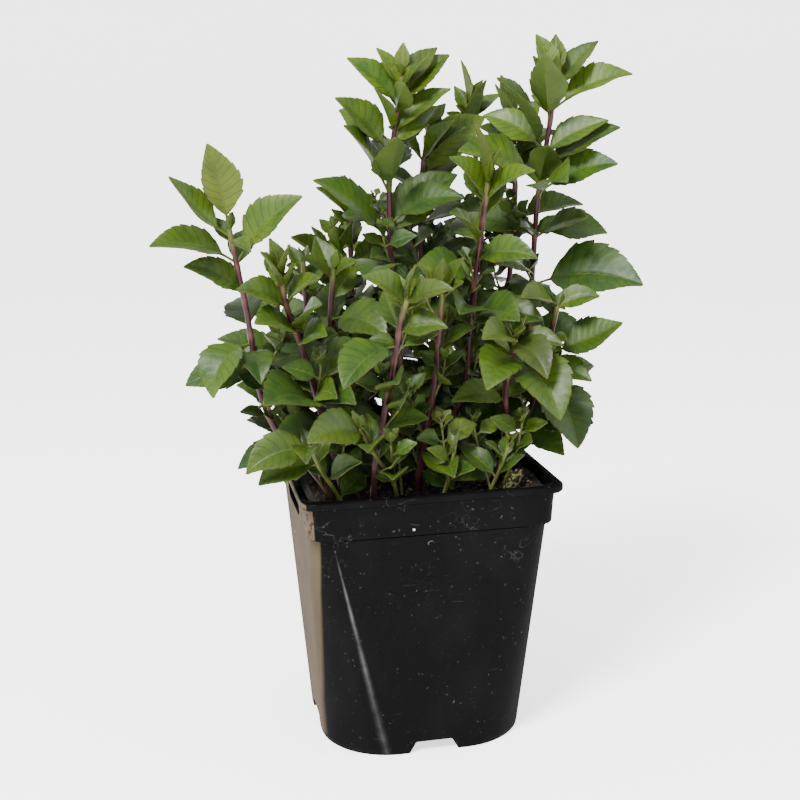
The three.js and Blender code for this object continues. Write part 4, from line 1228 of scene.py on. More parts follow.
def pot_rings():
    """The rings of the moulding, from the underside of the floor, up the outside and down the inside."""
    band_foot = POT_HEIGHT - BAND["depth"]
    lip_foot = POT_HEIGHT - LIP["height"]
    half, corner, _ = body_at(FLOOR["under"])
    rings = [ring(half - FOOT_RING, corner - FOOT_RING, FLOOR["under"])]
    half, corner, _ = body_at(0)
    edge = 0.35
    rings += [
        ring(half - FOOT_RING, corner - FOOT_RING, edge),
        ring(half - FOOT_RING + edge, corner - FOOT_RING + edge, 0),
        ring(half - edge, corner - edge, 0),
        ring(half, corner, edge),
    ]
    for z in np.linspace(3, band_foot - 0.3, 16):
        half, corner, bow = body_at(z)
        rings.append(ring(half, corner, z, bow))
    round_foot = 0.7
    corner = BAND["corner"]
    for half, z in arc(BAND["foot_half"] - round_foot, band_foot + round_foot, round_foot, -90, 0, 5):
        rings.append(ring(half, corner, z))
    rings.append(ring(BAND["foot_half"] + 0.45, corner, band_foot + 9))
    rings.append(ring(BAND["top_half"] - 0.1, corner, lip_foot - 0.9))
    rings.append(ring(BAND["top_half"] + 0.4, corner, lip_foot - 0.3))
    bead = 0.8
    for half, z in arc(LIP["half"] - bead, lip_foot + bead, bead, -90, 0, 4):
        rings.append(ring(half, LIP["corner"], z))
    for half, z in arc(LIP["half"] - bead, POT_HEIGHT - bead, bead, 0, 90, 5):
        rings.append(ring(half, LIP["corner"], z))
    inner = BAND["top_half"] - WALL
    for half, z in ((inner + 1, POT_HEIGHT), (inner + 0.25, POT_HEIGHT - 0.3), (inner, POT_HEIGHT - 1.2)):
        rings.append(ring(half, corner - WALL + half - inner, z))
    rings.append(ring(inner - 1, corner - WALL, band_foot + 1.6))
    for z in (band_foot, 60, 20, FLOOR["over"]):
        half, corner, bow = body_at(z)
        rings.append(ring(half - WALL, corner - WALL, z, bow))
    return rings


def mesh_object(name, points, faces):
    mesh = bpy.data.meshes.new(name)
    mesh.from_pydata((np.asarray(points) * MM).tolist(), [], faces)
    made = bpy.data.objects.new(name, mesh)
    bpy.context.scene.collection.objects.link(made)
    return made


def prism(name, outline, place, length):
    """An upright outline (across, height) pushed through a wall. place turns it to where it cuts."""
    count = len(outline)
    points = [(x, y, z) for y in (-length / 2, length / 2) for x, z in outline]
    faces = [(i + count, (i + 1) % count + count, (i + 1) % count, i) for i in range(count)]
    faces += [tuple(range(count)), tuple(range(count, 2 * count))[::-1]]
    made = mesh_object(name, points, faces)
    made.data.transform(place)
    return made


def pot_cutters():
    """The four drainage notches, the four drain holes and the two slots of the band."""
    below = 1.0
    widening = (NOTCH["foot_half"] - NOTCH["top_half"]) / NOTCH["height"] * below
    notch = [(-NOTCH["foot_half"] - widening, -below), (NOTCH["foot_half"] + widening, -below)]
    for side in (1, -1):
        turns = np.linspace(0, 90, 4) if side > 0 else np.linspace(90, 180, 4)
        for a in np.radians(turns):
            notch.append((side * (NOTCH["top_half"] - 1) + math.cos(a), NOTCH["height"] - 1 + math.sin(a)))
    radius = (SLOT["top"] - SLOT["foot"]) / 2
    straight = SLOT["length"] / 2 - radius
    angles = np.linspace(-1, 1, 13) * math.pi / 2
    slot = [(straight + radius * math.cos(a), radius * math.sin(a)) for a in angles]
    slot += [(-x, -z) for x, z in slot]
    cutters = []
    for quarter in range(4):
        turn = Matrix.Rotation(quarter * math.pi / 2, 4, "Z")
        place = turn @ Matrix.Translation((0, -BODY["foot_half"] * MM, 0))
        cutters.append(prism("notch", notch, place, 8))
    for side in (-1, 1):
        turn = Matrix.Rotation(math.pi / 2, 4, "Z")
        place = Matrix.Translation((side * BAND["foot_half"] * MM, 0, (SLOT["foot"] + radius) * MM)) @ turn
        cutters.append(prism("slot", slot, place, 12))
    for quarter in range(4):
        angle = (quarter + 0.5) * math.pi / 2
        x, y = DRAIN["reach"] * math.cos(angle), DRAIN["reach"] * math.sin(angle)
        circle = [
            (x + DRAIN["radius"] * math.cos(a), y + DRAIN["radius"] * math.sin(a))
            for a in np.linspace(0, 2 * math.pi, 24, endpoint=False)
        ]
        rings = [np.array([(*point, z) for point in circle]) for z in (FLOOR["under"] - 1, FLOOR["over"] + 1)]
        cutters.append(mesh_object("drain", *loft(rings)))
    return cutters


def centre_foot_rings():
    """The foot under the middle of the floor, which reaches into the soil."""
    around = np.linspace(0, 2 * math.pi, 32, endpoint=False)
    rings = []
    for radius, z in ((CENTRE_FOOT["radius"], 0), (CENTRE_FOOT["top_radius"], FLOOR["over"])):
        rings.append(np.column_stack([radius * np.cos(around), radius * np.sin(around), around * 0 + z]))
    return rings


# The soil is banked up along the pot's right wall.
BANK = {"height": 7.2, "start": 37, "width": 10}


def soil_top(x, y):
    """The uneven top of the soil."""
    wave = np.sin(x * 0.21 + 1) * np.cos(y * 0.17) + 0.6 * np.sin(x * 0.09 - y * 0.13)
    fine = 0.35 * np.sin(x * 0.83 + 2 * np.sin(y * 0.31)) * np.sin(y * 0.71 + 1)
    bank = BANK["height"] * smooth_step((x - BANK["start"]) / BANK["width"])
    return SOIL_TOP + SOIL_ROUGHNESS * (wave / 1.6 + fine) + bank


def soil_rings():
    """The root ball, from its underside up to its rim, and over its top to the middle."""
    gap = 0.15
    rings = []
    for z in (FLOOR["over"] + gap, 40, 80, POT_HEIGHT - BAND["depth"] - 1):
        half, corner, bow = body_at(z)
        rings.append(ring(half - WALL - gap, corner - WALL - gap, z, bow))
    half = BAND["top_half"] - WALL - 1 - gap
    corner = BAND["corner"] - WALL
    edge = POT_HEIGHT - BAND["depth"] + 1.7
    rings.append(ring(half, corner, edge))
    for share in (1, 0.97, 0.93, 0.88, 0.82, 0.74, 0.66, 0.57, 0.48, 0.38, 0.28, 0.18, 0.08, 0.02):
        level = ring(half * share, corner * share + 0.01, 0)
        level[:, 2] = soil_top(level[:, 0], level[:, 1])
        along = np.abs(level[:, 1]) < TROUGH["length"] / 2
        in_trough = (-level[:, 0] > half - TROUGH["width"]) & along
        level[in_trough, 2] = np.maximum(level[in_trough, 2] - TROUGH["depth"], edge + 0.1)
        rings.append(level)
    return rings


MOSS = {"x": 40, "y": -20, "reach": 8}


def on_top(points):
    """Marks the soil's top, clear of the pot's wall and of the trough."""
    half = BAND["top_half"] - WALL - 3
    in_trough = (points[:, 0] < TROUGH["width"] - half) & (np.abs(points[:, 1]) < TROUGH["length"] / 2 + 2)
    inside = (np.abs(points[:, :2]).max(axis=1) < half) & ~in_trough
    return (points[:, 2] > SOIL_TOP - SOIL_ROUGHNESS * 2) & inside


def near_moss(points):
    """Marks the soil's top near the mossy corner."""
    away = np.hypot(points[:, 0] - MOSS["x"], points[:, 1] - MOSS["y"])
    ragged = MOSS["reach"] * (0.8 + 0.3 * np.sin(points[:, 0] * 0.5) * np.cos(points[:, 1] * 0.7))
    half = BAND["top_half"] - WALL - 2
    return (points[:, 2] > SOIL_TOP - SOIL_ROUGHNESS * 2) & (away < ragged) & (np.abs(points[:, 0]) < half)


def scattered(points, faces, name, mask, values):
    """Small lumps scattered over the part of the soil that a mask marks."""
    mesh = bpy.data.meshes.new(name)
    mesh.from_pydata((points * MM).tolist(), [], faces)
    layer = mesh.attributes.new("mask", "FLOAT", "POINT")
    layer.data.foreach_set("value", mask(points).astype(np.float32))
    tree, identifiers = scatter_tree()
    made = shaped_by(mesh, name, tree, identifiers, values)
    smooth(made, 180)
    return made


# ---------------------------------------------------------------------------------------------------------
# Materials
# ---------------------------------------------------------------------------------------------------------


def material(name):
    """A new material: the material, its tree, and its surface shader."""
    made = bpy.data.materials.new(name)
    made.use_nodes = True
    return made, made.node_tree, made.node_tree.nodes["Principled BSDF"]


def value_of(tree, name):
    """A point value of the piece, such as its age."""
    return wire(tree, "ShaderNodeAttribute", attribute_name=name).outputs["Fac"]


def mix(tree, share, first, second, blend="MIX"):
    node = wire(tree, "ShaderNodeMix",
                {"Factor_Float": share, "A_Color": first, "B_Color": second},
                data_type="RGBA", blend_type=blend)
    return socket_of(node.outputs, "Result_Color")


def math_of(tree, operation, first, second=0.0, third=0.0):
    node = wire(tree, "ShaderNodeMath", {"Value": first, "Value_001": second, "Value_002": third},
                operation=operation)
    return node.outputs[0]


def ramp(tree, share, *stops):
    """A colour ramp from pairs of place and colour."""
    node = wire(tree, "ShaderNodeValToRGB", {"Fac": share})
    elements = node.color_ramp.elements
    while len(elements) < len(stops):
        elements.new(0.5)
    for element, (place, colour) in zip(elements, stops):
        element.position = place
        element.color = colour if len(colour) == 4 else (*colour, 1)
    return node.outputs["Color"]


def grey(value):
    return (value, value, value, 1)


def noise(tree, scale, detail=2.0, stretch=None, distortion=0.0):
    """Noise on the object's own coordinates, in lumps of about 1 / scale metres."""
    place = wire(tree, "ShaderNodeTexCoord").outputs["Object"]
    if stretch:
        place = wire(tree, "ShaderNodeMapping", {"Vector": place, "Scale": stretch}).outputs["Vector"]
    node = wire(tree, "ShaderNodeTexNoise",
                {"Vector": place, "Scale": scale, "Detail": detail, "Distortion": distortion})
    return node.outputs["Fac"]


def bump(tree, height, strength, distance):
    node = wire(tree, "ShaderNodeBump", {"Height": height, "Strength": strength, "Distance": distance})
    return node.outputs["Normal"]


def colour4(colour):
    return (*colour, 1)


def leaf_material(name, settings, is_under):
    """A blade's upper or under face: young yellow-green to old blue-green, a pale midrib, side veins darkened
    as painted shade in their grooves, and a purple margin.
    """
    made, tree, shader = material(name)
    young, grown, old = (colour4(c) for c in (settings.young_leaf, settings.grown_leaf, settings.old_leaf))
    base = ramp(tree, value_of(tree, "age"), (0.0, young), (0.4, grown), (1.0, old))
    chance = value_of(tree, "chance")
    pale = ramp(tree, chance, (0.0, grey(0.78)), (0.5, grey(1.0)), (0.93, grey(1.25)), (1.0, (1.6, 1.4, 1.0)))
    base = mix(tree, 1.0, base, pale, "MULTIPLY")
    blotch = ramp(tree, noise(tree, 120, 5),
                  (0.32, (0.5, 0.64, 0.95)), (0.5, grey(1.0)), (0.68, (1.45, 1.25, 0.8)))
    base = mix(tree, 0.85, base, blotch, "MULTIPLY")
    vein = value_of(tree, "vein")
    # The side veins darken towards a darker copy of the old leaf colour, as painted shade in their grooves.
    vein_groove_shade = ramp(tree, vein, (0.5, grey(0)), (0.66, grey(0.65)), (0.7, grey(0.65)), (0.8, grey(0)))
    base = mix(tree, vein_groove_shade, base, colour4([c * 0.6 for c in settings.old_leaf]))
    midrib = ramp(tree, vein, (0.8, grey(0)), (0.97, grey(0.35)))
    base = mix(tree, midrib, base, colour4(settings.vein))
    if is_under:
        base = mix(tree, 0.55, base, colour4(settings.underside))
    edge = ramp(tree, value_of(tree, "edge"), (0.55, grey(0)), (1.0, grey(0.55)))
    base = mix(tree, edge, base, colour4(settings.young_stem))
    base = mix(tree, value_of(tree, "blush"), base, colour4(settings.blush))
    tree.links.new(base, shader.inputs["Base Color"])
    gloss = ramp(tree, noise(tree, 260, 2), (0.3, grey(0.5 if is_under else 0.36)),
                 (0.7, grey(0.62 if is_under else 0.5)))
    tree.links.new(gloss, shader.inputs["Roughness"])
    shader.inputs["Specular IOR Level"].default_value = 0.1 if is_under else 0.12
    shader.inputs["Coat Weight"].default_value = 0.0 if is_under else 0.11
    shader.inputs["Coat Roughness"].default_value = 0.42
    shader.inputs["Subsurface Weight"].default_value = settings.glow
    shader.inputs["Subsurface Radius"].default_value = (0.5, 1.0, 0.15)
    shader.inputs["Subsurface Scale"].default_value = 0.0008
    grain = noise(tree, 1400, 2)
    tree.links.new(bump(tree, grain, 0.25, 0.0003), shader.inputs["Normal"])
    return made


def bark_material(settings):
    """Stems: green at the tip, dark purple above, brown and olive near the soil."""
    made, tree, shader = material("mint_bark")
    age = value_of(tree, "age")
    base = ramp(tree, age, (0.0, settings.green_stem), (0.45, settings.green_stem), (1.0, settings.old_stem))
    base = mix(tree, value_of(tree, "blush"), base, colour4(settings.young_stem))
    streak = ramp(tree, noise(tree, 260, 3, (1, 1, 0.12)), (0.3, grey(0.7)), (0.7, grey(1.35)))
    base = mix(tree, 0.8, base, streak, "MULTIPLY")
    joint = math_of(tree, "MULTIPLY", value_of(tree, "vein"), 0.22)
    base = mix(tree, joint, base, colour4(settings.joint))
    tree.links.new(base, shader.inputs["Base Color"])
    shader.inputs["Roughness"].default_value = 0.42
    shader.inputs["Specular IOR Level"].default_value = 0.1
    shader.inputs["Coat Weight"].default_value = 0.2
    shader.inputs["Coat Roughness"].default_value = 0.3
    grain = noise(tree, 900, 2, (1, 1, 0.2))
    tree.links.new(bump(tree, grain, 0.3, 0.0003), shader.inputs["Normal"])
    return made


# The painted highlight line, which stands in for the reflection along the front left corner: its place and
# half its width at the foot, and how both change with height.
PAINTED_HIGHLIGHT = {"foot": -0.0206, "slope": -0.2186, "half": 0.0032, "narrowing": -0.028}


def flecks(tree, scale, largest, seed):
    """A mask of round specks of many sizes: 1 in a speck and 0 elsewhere."""
    place = wire(tree, "ShaderNodeTexCoord").outputs["Object"]
    moved = wire(tree, "ShaderNodeMapping",
                 {"Vector": place, "Location": (seed, seed, seed)}).outputs["Vector"]
    bend = wire(tree, "ShaderNodeTexNoise", {"Vector": moved, "Scale": scale * 2.2, "Detail": 1.0})
    bent = wire(tree, "ShaderNodeVectorMath",
                {"Vector": bend.outputs["Color"], "Scale": 0.9 / scale}, operation="SCALE").outputs["Vector"]
    moved = wire(tree, "ShaderNodeVectorMath", {"Vector": moved, "Vector_001": bent}, operation="ADD")
    cell = wire(tree, "ShaderNodeTexVoronoi", {"Vector": moved.outputs["Vector"], "Scale": scale})
    chance = wire(tree, "ShaderNodeSeparateColor", {"Color": cell.outputs["Color"]}).outputs["Red"]
    size = ramp(tree, chance, (0.84, grey(0.0)), (1.0, grey(largest)))
    return math_of(tree, "LESS_THAN", cell.outputs["Distance"], size)


def plastic_material(settings):
    """Black moulded plastic with its left side paled by dust and by a painted grazing reflection, and with
    specks, water marks, splashes of dried soil and a painted highlight line down the front left corner.
    """
    made, tree, shader = material("pot_black_plastic")
    place = wire(tree, "ShaderNodeTexCoord")
    parts = wire(tree, "ShaderNodeSeparateXYZ", {"Vector": place.outputs["Object"]})
    across, height = parts.outputs["X"], parts.outputs["Z"]
    faces = wire(tree, "ShaderNodeSeparateXYZ", {"Vector": place.outputs["Normal"]})
    # Dust and a painted grazing reflection pale what faces left, and reach further round the corners higher
    # up.
    level = math_of(tree, "MULTIPLY", height, 10.0)
    least = ramp(tree, level, (0.2, grey(0.97)), (0.55, grey(0.9)), (0.75, grey(0.85)), (0.98, grey(0.735)))
    facing = math_of(tree, "MULTIPLY_ADD", faces.outputs["X"], -1.0, math_of(tree, "MULTIPLY", least, -1.0))
    outward = wire(tree, "ShaderNodeMapRange", {"Value": facing, "From Min": -0.035, "From Max": 0.02})
    outside = wire(tree, "ShaderNodeMapRange", {"Value": across, "From Min": -0.03, "From Max": -0.04})
    left = math_of(tree, "MULTIPLY", outward.outputs["Result"], outside.outputs["Result"])
    side_patchiness = ramp(tree, noise(tree, 60, 6, (1, 0.6, 0.8)), (0.3, grey(0.75)), (0.7, grey(1.0)))
    dust_and_reflection = math_of(tree, "MULTIPLY", math_of(tree, "MULTIPLY", left, side_patchiness), settings.side_dust_and_reflection)
    on_band = math_of(tree, "GREATER_THAN", height, 0.1002)
    dust_and_reflection_colour = mix(tree, on_band, colour4([c * 0.82 for c in settings.dust_and_reflection]), colour4(settings.dust_and_reflection))

    # Grey marks: rings of dried water, fine scratches, and specks of four sizes.
    upper = wire(tree, "ShaderNodeMapRange",
                 {"Value": height, "From Min": 0.078, "From Max": 0.098, "To Min": 0.12, "To Max": 1.0})
    tide = math_of(tree, "ABSOLUTE", math_of(tree, "SUBTRACT", noise(tree, 70, 4, None, 0.8), 0.5))
    line = math_of(tree, "LESS_THAN", tide, 0.0045)
    patch = ramp(tree, noise(tree, 55, 2), (0.48, grey(0.0)), (0.64, grey(1.0)))
    rings = math_of(tree, "MULTIPLY", math_of(tree, "MULTIPLY", line, patch), upper.outputs["Result"])
    scratch = ramp(tree, noise(tree, 900, 1, (0.1, 0.1, 1.0), 0.3), (0.745, grey(0.0)), (0.77, grey(1.0)))
    powder = math_of(tree, "MULTIPLY", flecks(tree, 420.0, 0.28, 3.0), upper.outputs["Result"])
    marks = ramp(tree, noise(tree, 45, 4, (1, 1, 0.5), 0.6), (0.45, grey(0.0)), (0.8, grey(settings.haze)))
    for mask, strength in (
        (rings, 0.035), (scratch, 0.015), (powder, 0.05),
        (flecks(tree, 190.0, 0.13, 7.0), 0.1), (flecks(tree, 650.0, 0.3, 11.0), 0.03),
        (flecks(tree, 70.0, 0.05, 13.0), 0.9),
    ):
        marks = math_of(tree, "MAXIMUM", marks, math_of(tree, "MULTIPLY", mask, strength))

    # A painted highlight line runs down the front left corner, from its left side to the middle of its foot.
    # It stands in for the reflection along the corner's curve.
    highlight_centre = math_of(tree, "MULTIPLY_ADD", height, PAINTED_HIGHLIGHT["slope"], PAINTED_HIGHLIGHT["foot"])
    away = math_of(tree, "ABSOLUTE", math_of(tree, "SUBTRACT", across, highlight_centre))
    half = math_of(tree, "MULTIPLY_ADD", height, PAINTED_HIGHLIGHT["narrowing"], PAINTED_HIGHLIGHT["half"])
    highlight_mask = wire(tree, "ShaderNodeMapRange",
                {"Value": away, "From Min": half, "From Max": 0.0}).outputs["Result"]
    front = math_of(tree, "LESS_THAN", parts.outputs["Y"], -0.02)
    strength = ramp(tree, level, (0.0, grey(0.05)), (0.35, grey(0.11)), (0.7, grey(0.17)),
                    (0.88, grey(0.08)), (0.97, grey(0.0)))
    highlight_mask = math_of(tree, "MULTIPLY", math_of(tree, "MULTIPLY", highlight_mask, highlight_mask),
                   math_of(tree, "MULTIPLY", front, strength))
    # Noise breaks up the painted highlight line.
    highlight_breakup = ramp(tree, noise(tree, 160, 3), (0.3, grey(0.25)), (0.65, grey(1.0)))
    highlight_mask = math_of(tree, "MULTIPLY", highlight_mask, highlight_breakup)

    # The left side's pale colour is partly dust and partly painted reflection.
    base = mix(tree, dust_and_reflection, colour4(settings.plastic), dust_and_reflection_colour)
    # The grey marks and the painted highlight line both take the marks_and_highlight colour.
    base = mix(tree, math_of(tree, "MAXIMUM", marks, highlight_mask), base, colour4(settings.marks_and_highlight))
    dirt = ramp(tree, noise(tree, 560, 3, (1, 0.3, 1)), (0.56, grey(0.0)), (0.62, grey(0.8)))
    dirt = math_of(tree, "MULTIPLY", math_of(tree, "MULTIPLY", dirt, left), on_band)
    base = mix(tree, dirt, base, colour4(settings.dirt))
    tree.links.new(base, shader.inputs["Base Color"])
    shader.inputs["Roughness"].default_value = 0.6
    shader.inputs["Specular IOR Level"].default_value = 0.0
    shader.inputs["Coat Weight"].default_value = 0.045
    shader.inputs["Coat Roughness"].default_value = 0.2
    skin = math_of(tree, "MULTIPLY_ADD", noise(tree, 240, 2), 0.6, noise(tree, 1500, 1))
    tree.links.new(bump(tree, skin, 0.12, 0.0004), shader.inputs["Normal"])
    return made


def soil_material(name, settings, shade):
    """Soil with bits of wood in it, darkened to a share of its colour. The root ball's darker copy is painted
    shade.
    """
    made, tree, shader = material(name)
    chance = value_of(tree, "chance")
    dark = ramp(tree, noise(tree, 500, 4), (0.3, colour4([c * shade * 0.35 for c in settings.soil])),
                (0.75, colour4([c * shade for c in settings.soil])))
    base = mix(tree, ramp(tree, chance, (0.86, grey(0.0)), (1.0, grey(1.0))), dark, colour4(settings.fibre))
    tree.links.new(base, shader.inputs["Base Color"])
    shader.inputs["Roughness"].default_value = 0.9
    shader.inputs["Specular IOR Level"].default_value = 0.2
    tree.links.new(bump(tree, noise(tree, 900, 4), 0.8, 0.0008), shader.inputs["Normal"])
    return made


def moss_material(settings):
    made, tree, shader = material("moss")
    chance = value_of(tree, "chance")
    base = ramp(tree, chance, (0.0, colour4(settings.moss)), (0.7, colour4([c * 1.6 for c in settings.moss])),
                (1.0, colour4(settings.fibre)))
    tree.links.new(base, shader.inputs["Base Color"])
    shader.inputs["Roughness"].default_value = 0.8
    tree.links.new(bump(tree, noise(tree, 1500, 2), 0.6, 0.0005), shader.inputs["Normal"])
    return made


def plain_material(name, colour, roughness, glow):
    """The stage's matt paint, with a faint unevenness, lit from below by a strength of glow."""
    made, tree, shader = material(name)
    darker = colour4([c * 0.985 for c in colour])
    shade = ramp(tree, noise(tree, 1.5, 2), (0.3, darker), (0.7, colour4(colour)))
    tree.links.new(shade, shader.inputs["Base Color"])
    shader.inputs["Roughness"].default_value = roughness
    shader.inputs["Emission Color"].default_value = (1, 1, 1, 1)
    shader.inputs["Emission Strength"].default_value = glow
    return made


# ---------------------------------------------------------------------------------------------------------
# Stage
# ---------------------------------------------------------------------------------------------------------

FLOOR_REACH = 3.0
FLOOR_RISE = 5.0
# The camera's place, and in degrees how far it is turned to its right, tilted down and rolled.
CAMERA_PLACE = (-0.11412, -0.54018, 0.27112)
CAMERA_TURN = 11.564
CAMERA_TILT = 12.826
CAMERA_ROLL = -0.89
SENSOR_WIDTH = 36


def make_floor(paint):
    """A wide round floor whose rim curves up behind the pot."""
    around = np.linspace(0, 2 * math.pi, 64, endpoint=False)
    rings = []
    for share in (0.02, 0.2, 0.4, 0.6, 0.8, 0.9, 1):
        radius = FLOOR_REACH * share
        rise = FLOOR_RISE * max(0, share - 0.6) ** 2
        rings.append(np.column_stack([radius * np.cos(around), radius * np.sin(around), around * 0 + rise]))
    points, faces = loft(rings, closed=False)
    faces.append(tuple(range(len(around)))[::-1])
    mesh = bpy.data.meshes.new("floor")
    mesh.from_pydata(points.tolist(), [], [face[::-1] for face in faces])
    mesh.materials.append(paint)
    mesh.polygons.foreach_set("use_smooth", [True] * len(mesh.polygons))
    floor = bpy.data.objects.new("floor", mesh)
    bpy.context.scene.collection.objects.link(floor)
    return floor


def make_light(name, place, target, size, power):
    light = bpy.data.lights.new(name, "AREA")
    light.shape = "DISK"
    light.size = size
    light.energy = power
    lamp = bpy.data.objects.new(name, light)
    lamp.location = place
    lamp.rotation_euler = (Vector(target) - Vector(place)).to_track_quat("-Z", "Y").to_euler()
    bpy.context.scene.collection.objects.link(lamp)


def make_lights(settings):
    middle = (0, 0, 0.15)
    make_light("key_light", (-0.75, -0.85, 1.35), middle, 0.5, settings.key_power)
    make_light("fill_light", (1.2, -0.5, 0.8), middle, 1.0, settings.fill_power)
    world = bpy.data.worlds.new("soft_sky")
    world.use_nodes = True
    sky = world.node_tree.nodes["Background"].inputs
    sky["Color"].default_value = (1, 1, 1, 1)
    sky["Strength"].default_value = settings.sky
    bpy.context.scene.world = world


def make_camera(settings):
    data = bpy.data.cameras.new("camera")
    data.lens = settings.focal_length
    data.sensor_width = SENSOR_WIDTH
    data.clip_start = 0.01
    camera = bpy.data.objects.new("camera", data)
    camera.matrix_world = (
        Matrix.Translation(CAMERA_PLACE)
        @ Matrix.Rotation(math.radians(-CAMERA_TURN), 4, "Z")
        @ Matrix.Rotation(math.radians(90 - CAMERA_TILT), 4, "X")
        @ Matrix.Rotation(math.radians(CAMERA_ROLL), 4, "Z")
    )
    bpy.context.scene.collection.objects.link(camera)
    bpy.context.scene.camera = camera


# ---------------------------------------------------------------------------------------------------------
# Settings
# ---------------------------------------------------------------------------------------------------------


def colour_setting(name, description, default):
    return FloatVectorProperty(
        name=name, description=description, default=default, subtype="COLOR", size=3, min=0, max=1
    )


def length_setting(name, description, default):
    return FloatProperty(
        name=name, description=description, default=default, min=0, unit="LENGTH", precision=5
    )


def share_setting(name, description, default):
    return FloatProperty(name=name, description=description, default=default, min=0, max=1, subtype="FACTOR")


class PotSettings(bpy.types.PropertyGroup):
    """The pot's finish."""

    plastic: colour_setting("Plastic", "Colour of the clean plastic", (0.0018, 0.0018, 0.0019))
    # The dust colour and the side share below also paint the grazing reflection on the pot's left side.
    dust_and_reflection: colour_setting("Dust_and_reflection", "Colour of the dust on it", (0.09, 0.067, 0.042))
    dirt: colour_setting("Dirt", "Colour of the splashes of dried soil", (0.018, 0.009, 0.004))
    # Colour of the grey marks and of the painted highlight line down the front left corner.
    marks_and_highlight: colour_setting("Marks_and_highlight", "Colour of the painted_highlight line on the front left corner", (0.4, 0.4, 0.42))
    side_dust_and_reflection: share_setting("Side dust", "How thickly dust covers the pot's left side", 0.75)
    haze: share_setting("Haze", "How strongly dried water marks show on the other sides", 0.004)


class SoilSettings(bpy.types.PropertyGroup):
    """The soil, its crumbs and its moss."""

    soil: colour_setting("Soil", "Colour of the soil", (0.035, 0.024, 0.017))
    fibre: colour_setting("Fibre", "Colour of the bits of wood and root in it", (0.2, 0.13, 0.075))
    moss: colour_setting("Moss", "Colour of the moss", (0.05, 0.075, 0.012))
    crumb_density: FloatProperty(
        name="Crumb density", description="Crumbs on each square metre of soil", default=90000, min=0
    )
    crumb_size: length_setting("Crumb size", "Radius of the largest crumbs", 0.0016)
    moss_density: FloatProperty(
        name="Moss density", description="Tufts on each square metre of mossy soil", default=1200000, min=0
    )


class PlantSettings(bpy.types.PropertyGroup):
    """The leaves and stems."""

    young_leaf: colour_setting("Young leaf", "Leaves at the tips", (0.037, 0.067, 0.0048))
    grown_leaf: colour_setting("Grown leaf", "Leaves in the middle of a stem", (0.0235, 0.05, 0.0038))
    old_leaf: colour_setting("Old leaf", "The lowest leaves", (0.0085, 0.026, 0.005))
    underside: colour_setting("Underside", "Colour that the leaves' undersides turn to", (0.05, 0.075, 0.016))
    vein: colour_setting("Vein", "Midrib and side veins", (0.065, 0.1, 0.016))
    blush: colour_setting("Blush", "Tinge of the youngest leaves and the leaf stalks", (0.045, 0.02, 0.01))
    young_stem: colour_setting("Purple stem", "Upper part of the stems", (0.028, 0.006, 0.008))
    old_stem: colour_setting("Old stem", "Foot of the stems", (0.08, 0.037, 0.014))
    green_stem: colour_setting("Green stem", "Young shoots", (0.05, 0.075, 0.012))
    joint: colour_setting("Joint", "The stems' joints", (0.2, 0.1, 0.06))
    glow: share_setting("Glow", "How much light spreads inside a leaf", 0.12)
    blade_thickness: length_setting("Blade thickness", "Thickness of a leaf", 0.00062)
    vein_depth: length_setting("Vein depth", "How deep the side veins sink into a large leaf", 0.00013)
    corner_rounding: share_setting("Corner rounding", "How round the corners of the square stems are", 0.5)
    young_shoots: IntProperty(
        name="Young shoots", description="Low shoots that are tried between the stems", default=90, min=0
    )


class StageSettings(bpy.types.PropertyGroup):
    """The floor, the light and the camera."""

    floor: colour_setting("Floor", "Colour of the floor", (0.94, 0.94, 0.94))
    floor_glow: FloatProperty(
        name="Floor glow", description="Light from the floor itself", default=1.5, min=0
    )
    sky: FloatProperty(name="Sky", description="Strength of the light from all sides", default=1.6, min=0)
    key_power: FloatProperty(name="Key light", description="Main light", default=75, min=0, unit="POWER")
    fill_power: FloatProperty(name="Fill light", description="Right light", default=10, min=0, unit="POWER")
    focal_length: FloatProperty(
        name="Focal length", description="The camera's lens", default=58.04, min=1, unit="CAMERA"
    )


# ---------------------------------------------------------------------------------------------------------
# Operators
# ---------------------------------------------------------------------------------------------------------


class MINT_OT_stage(bpy.types.Operator):
    """Makes the floor, the lights and the camera"""

    bl_idname = "mint.stage"
    bl_label = "Stage"

    def execute(self, context):
        settings = context.scene.mint_stage
        paint = plain_material("floor_paint", settings.floor, 0.75, settings.floor_glow)
        make_floor(paint)
        make_lights(settings)
        make_camera(settings)
        return {"FINISHED"}


class MINT_OT_pot(bpy.types.Operator):
    """Makes the pot with its notches, slots and drain holes"""

    bl_idname = "mint.pot"
    bl_label = "Pot"

    def execute(self, context):
        settings = context.scene.mint_pot
        shell = mesh_object("pot_shell", *loft(pot_rings()))
        for cutter in pot_cutters():
            cut = shell.modifiers.new(cutter.name, "BOOLEAN")
            cut.operation = "DIFFERENCE"
            cut.solver = "EXACT"
            cut.object = cutter
        foot = mesh_object("pot_foot", *loft(centre_foot_rings()))
        add = shell.modifiers.new("foot", "BOOLEAN")
        add.operation = "UNION"
        add.solver = "EXACT"
        add.object = foot
        graph = context.evaluated_depsgraph_get()
        mesh = bpy.data.meshes.new_from_object(shell.evaluated_get(graph))
        for used in [shell, foot, *(m.object for m in shell.modifiers if m.object is not foot)]:
            bpy.data.objects.remove(used)
        mesh.name = "moulded_pot"
        mesh.materials.clear()
        mesh.materials.append(plastic_material(settings))
        smooth(mesh, 38)
        piece_of("moulded_pot", mesh, "pot_plastic", "pot")
        return {"FINISHED"}


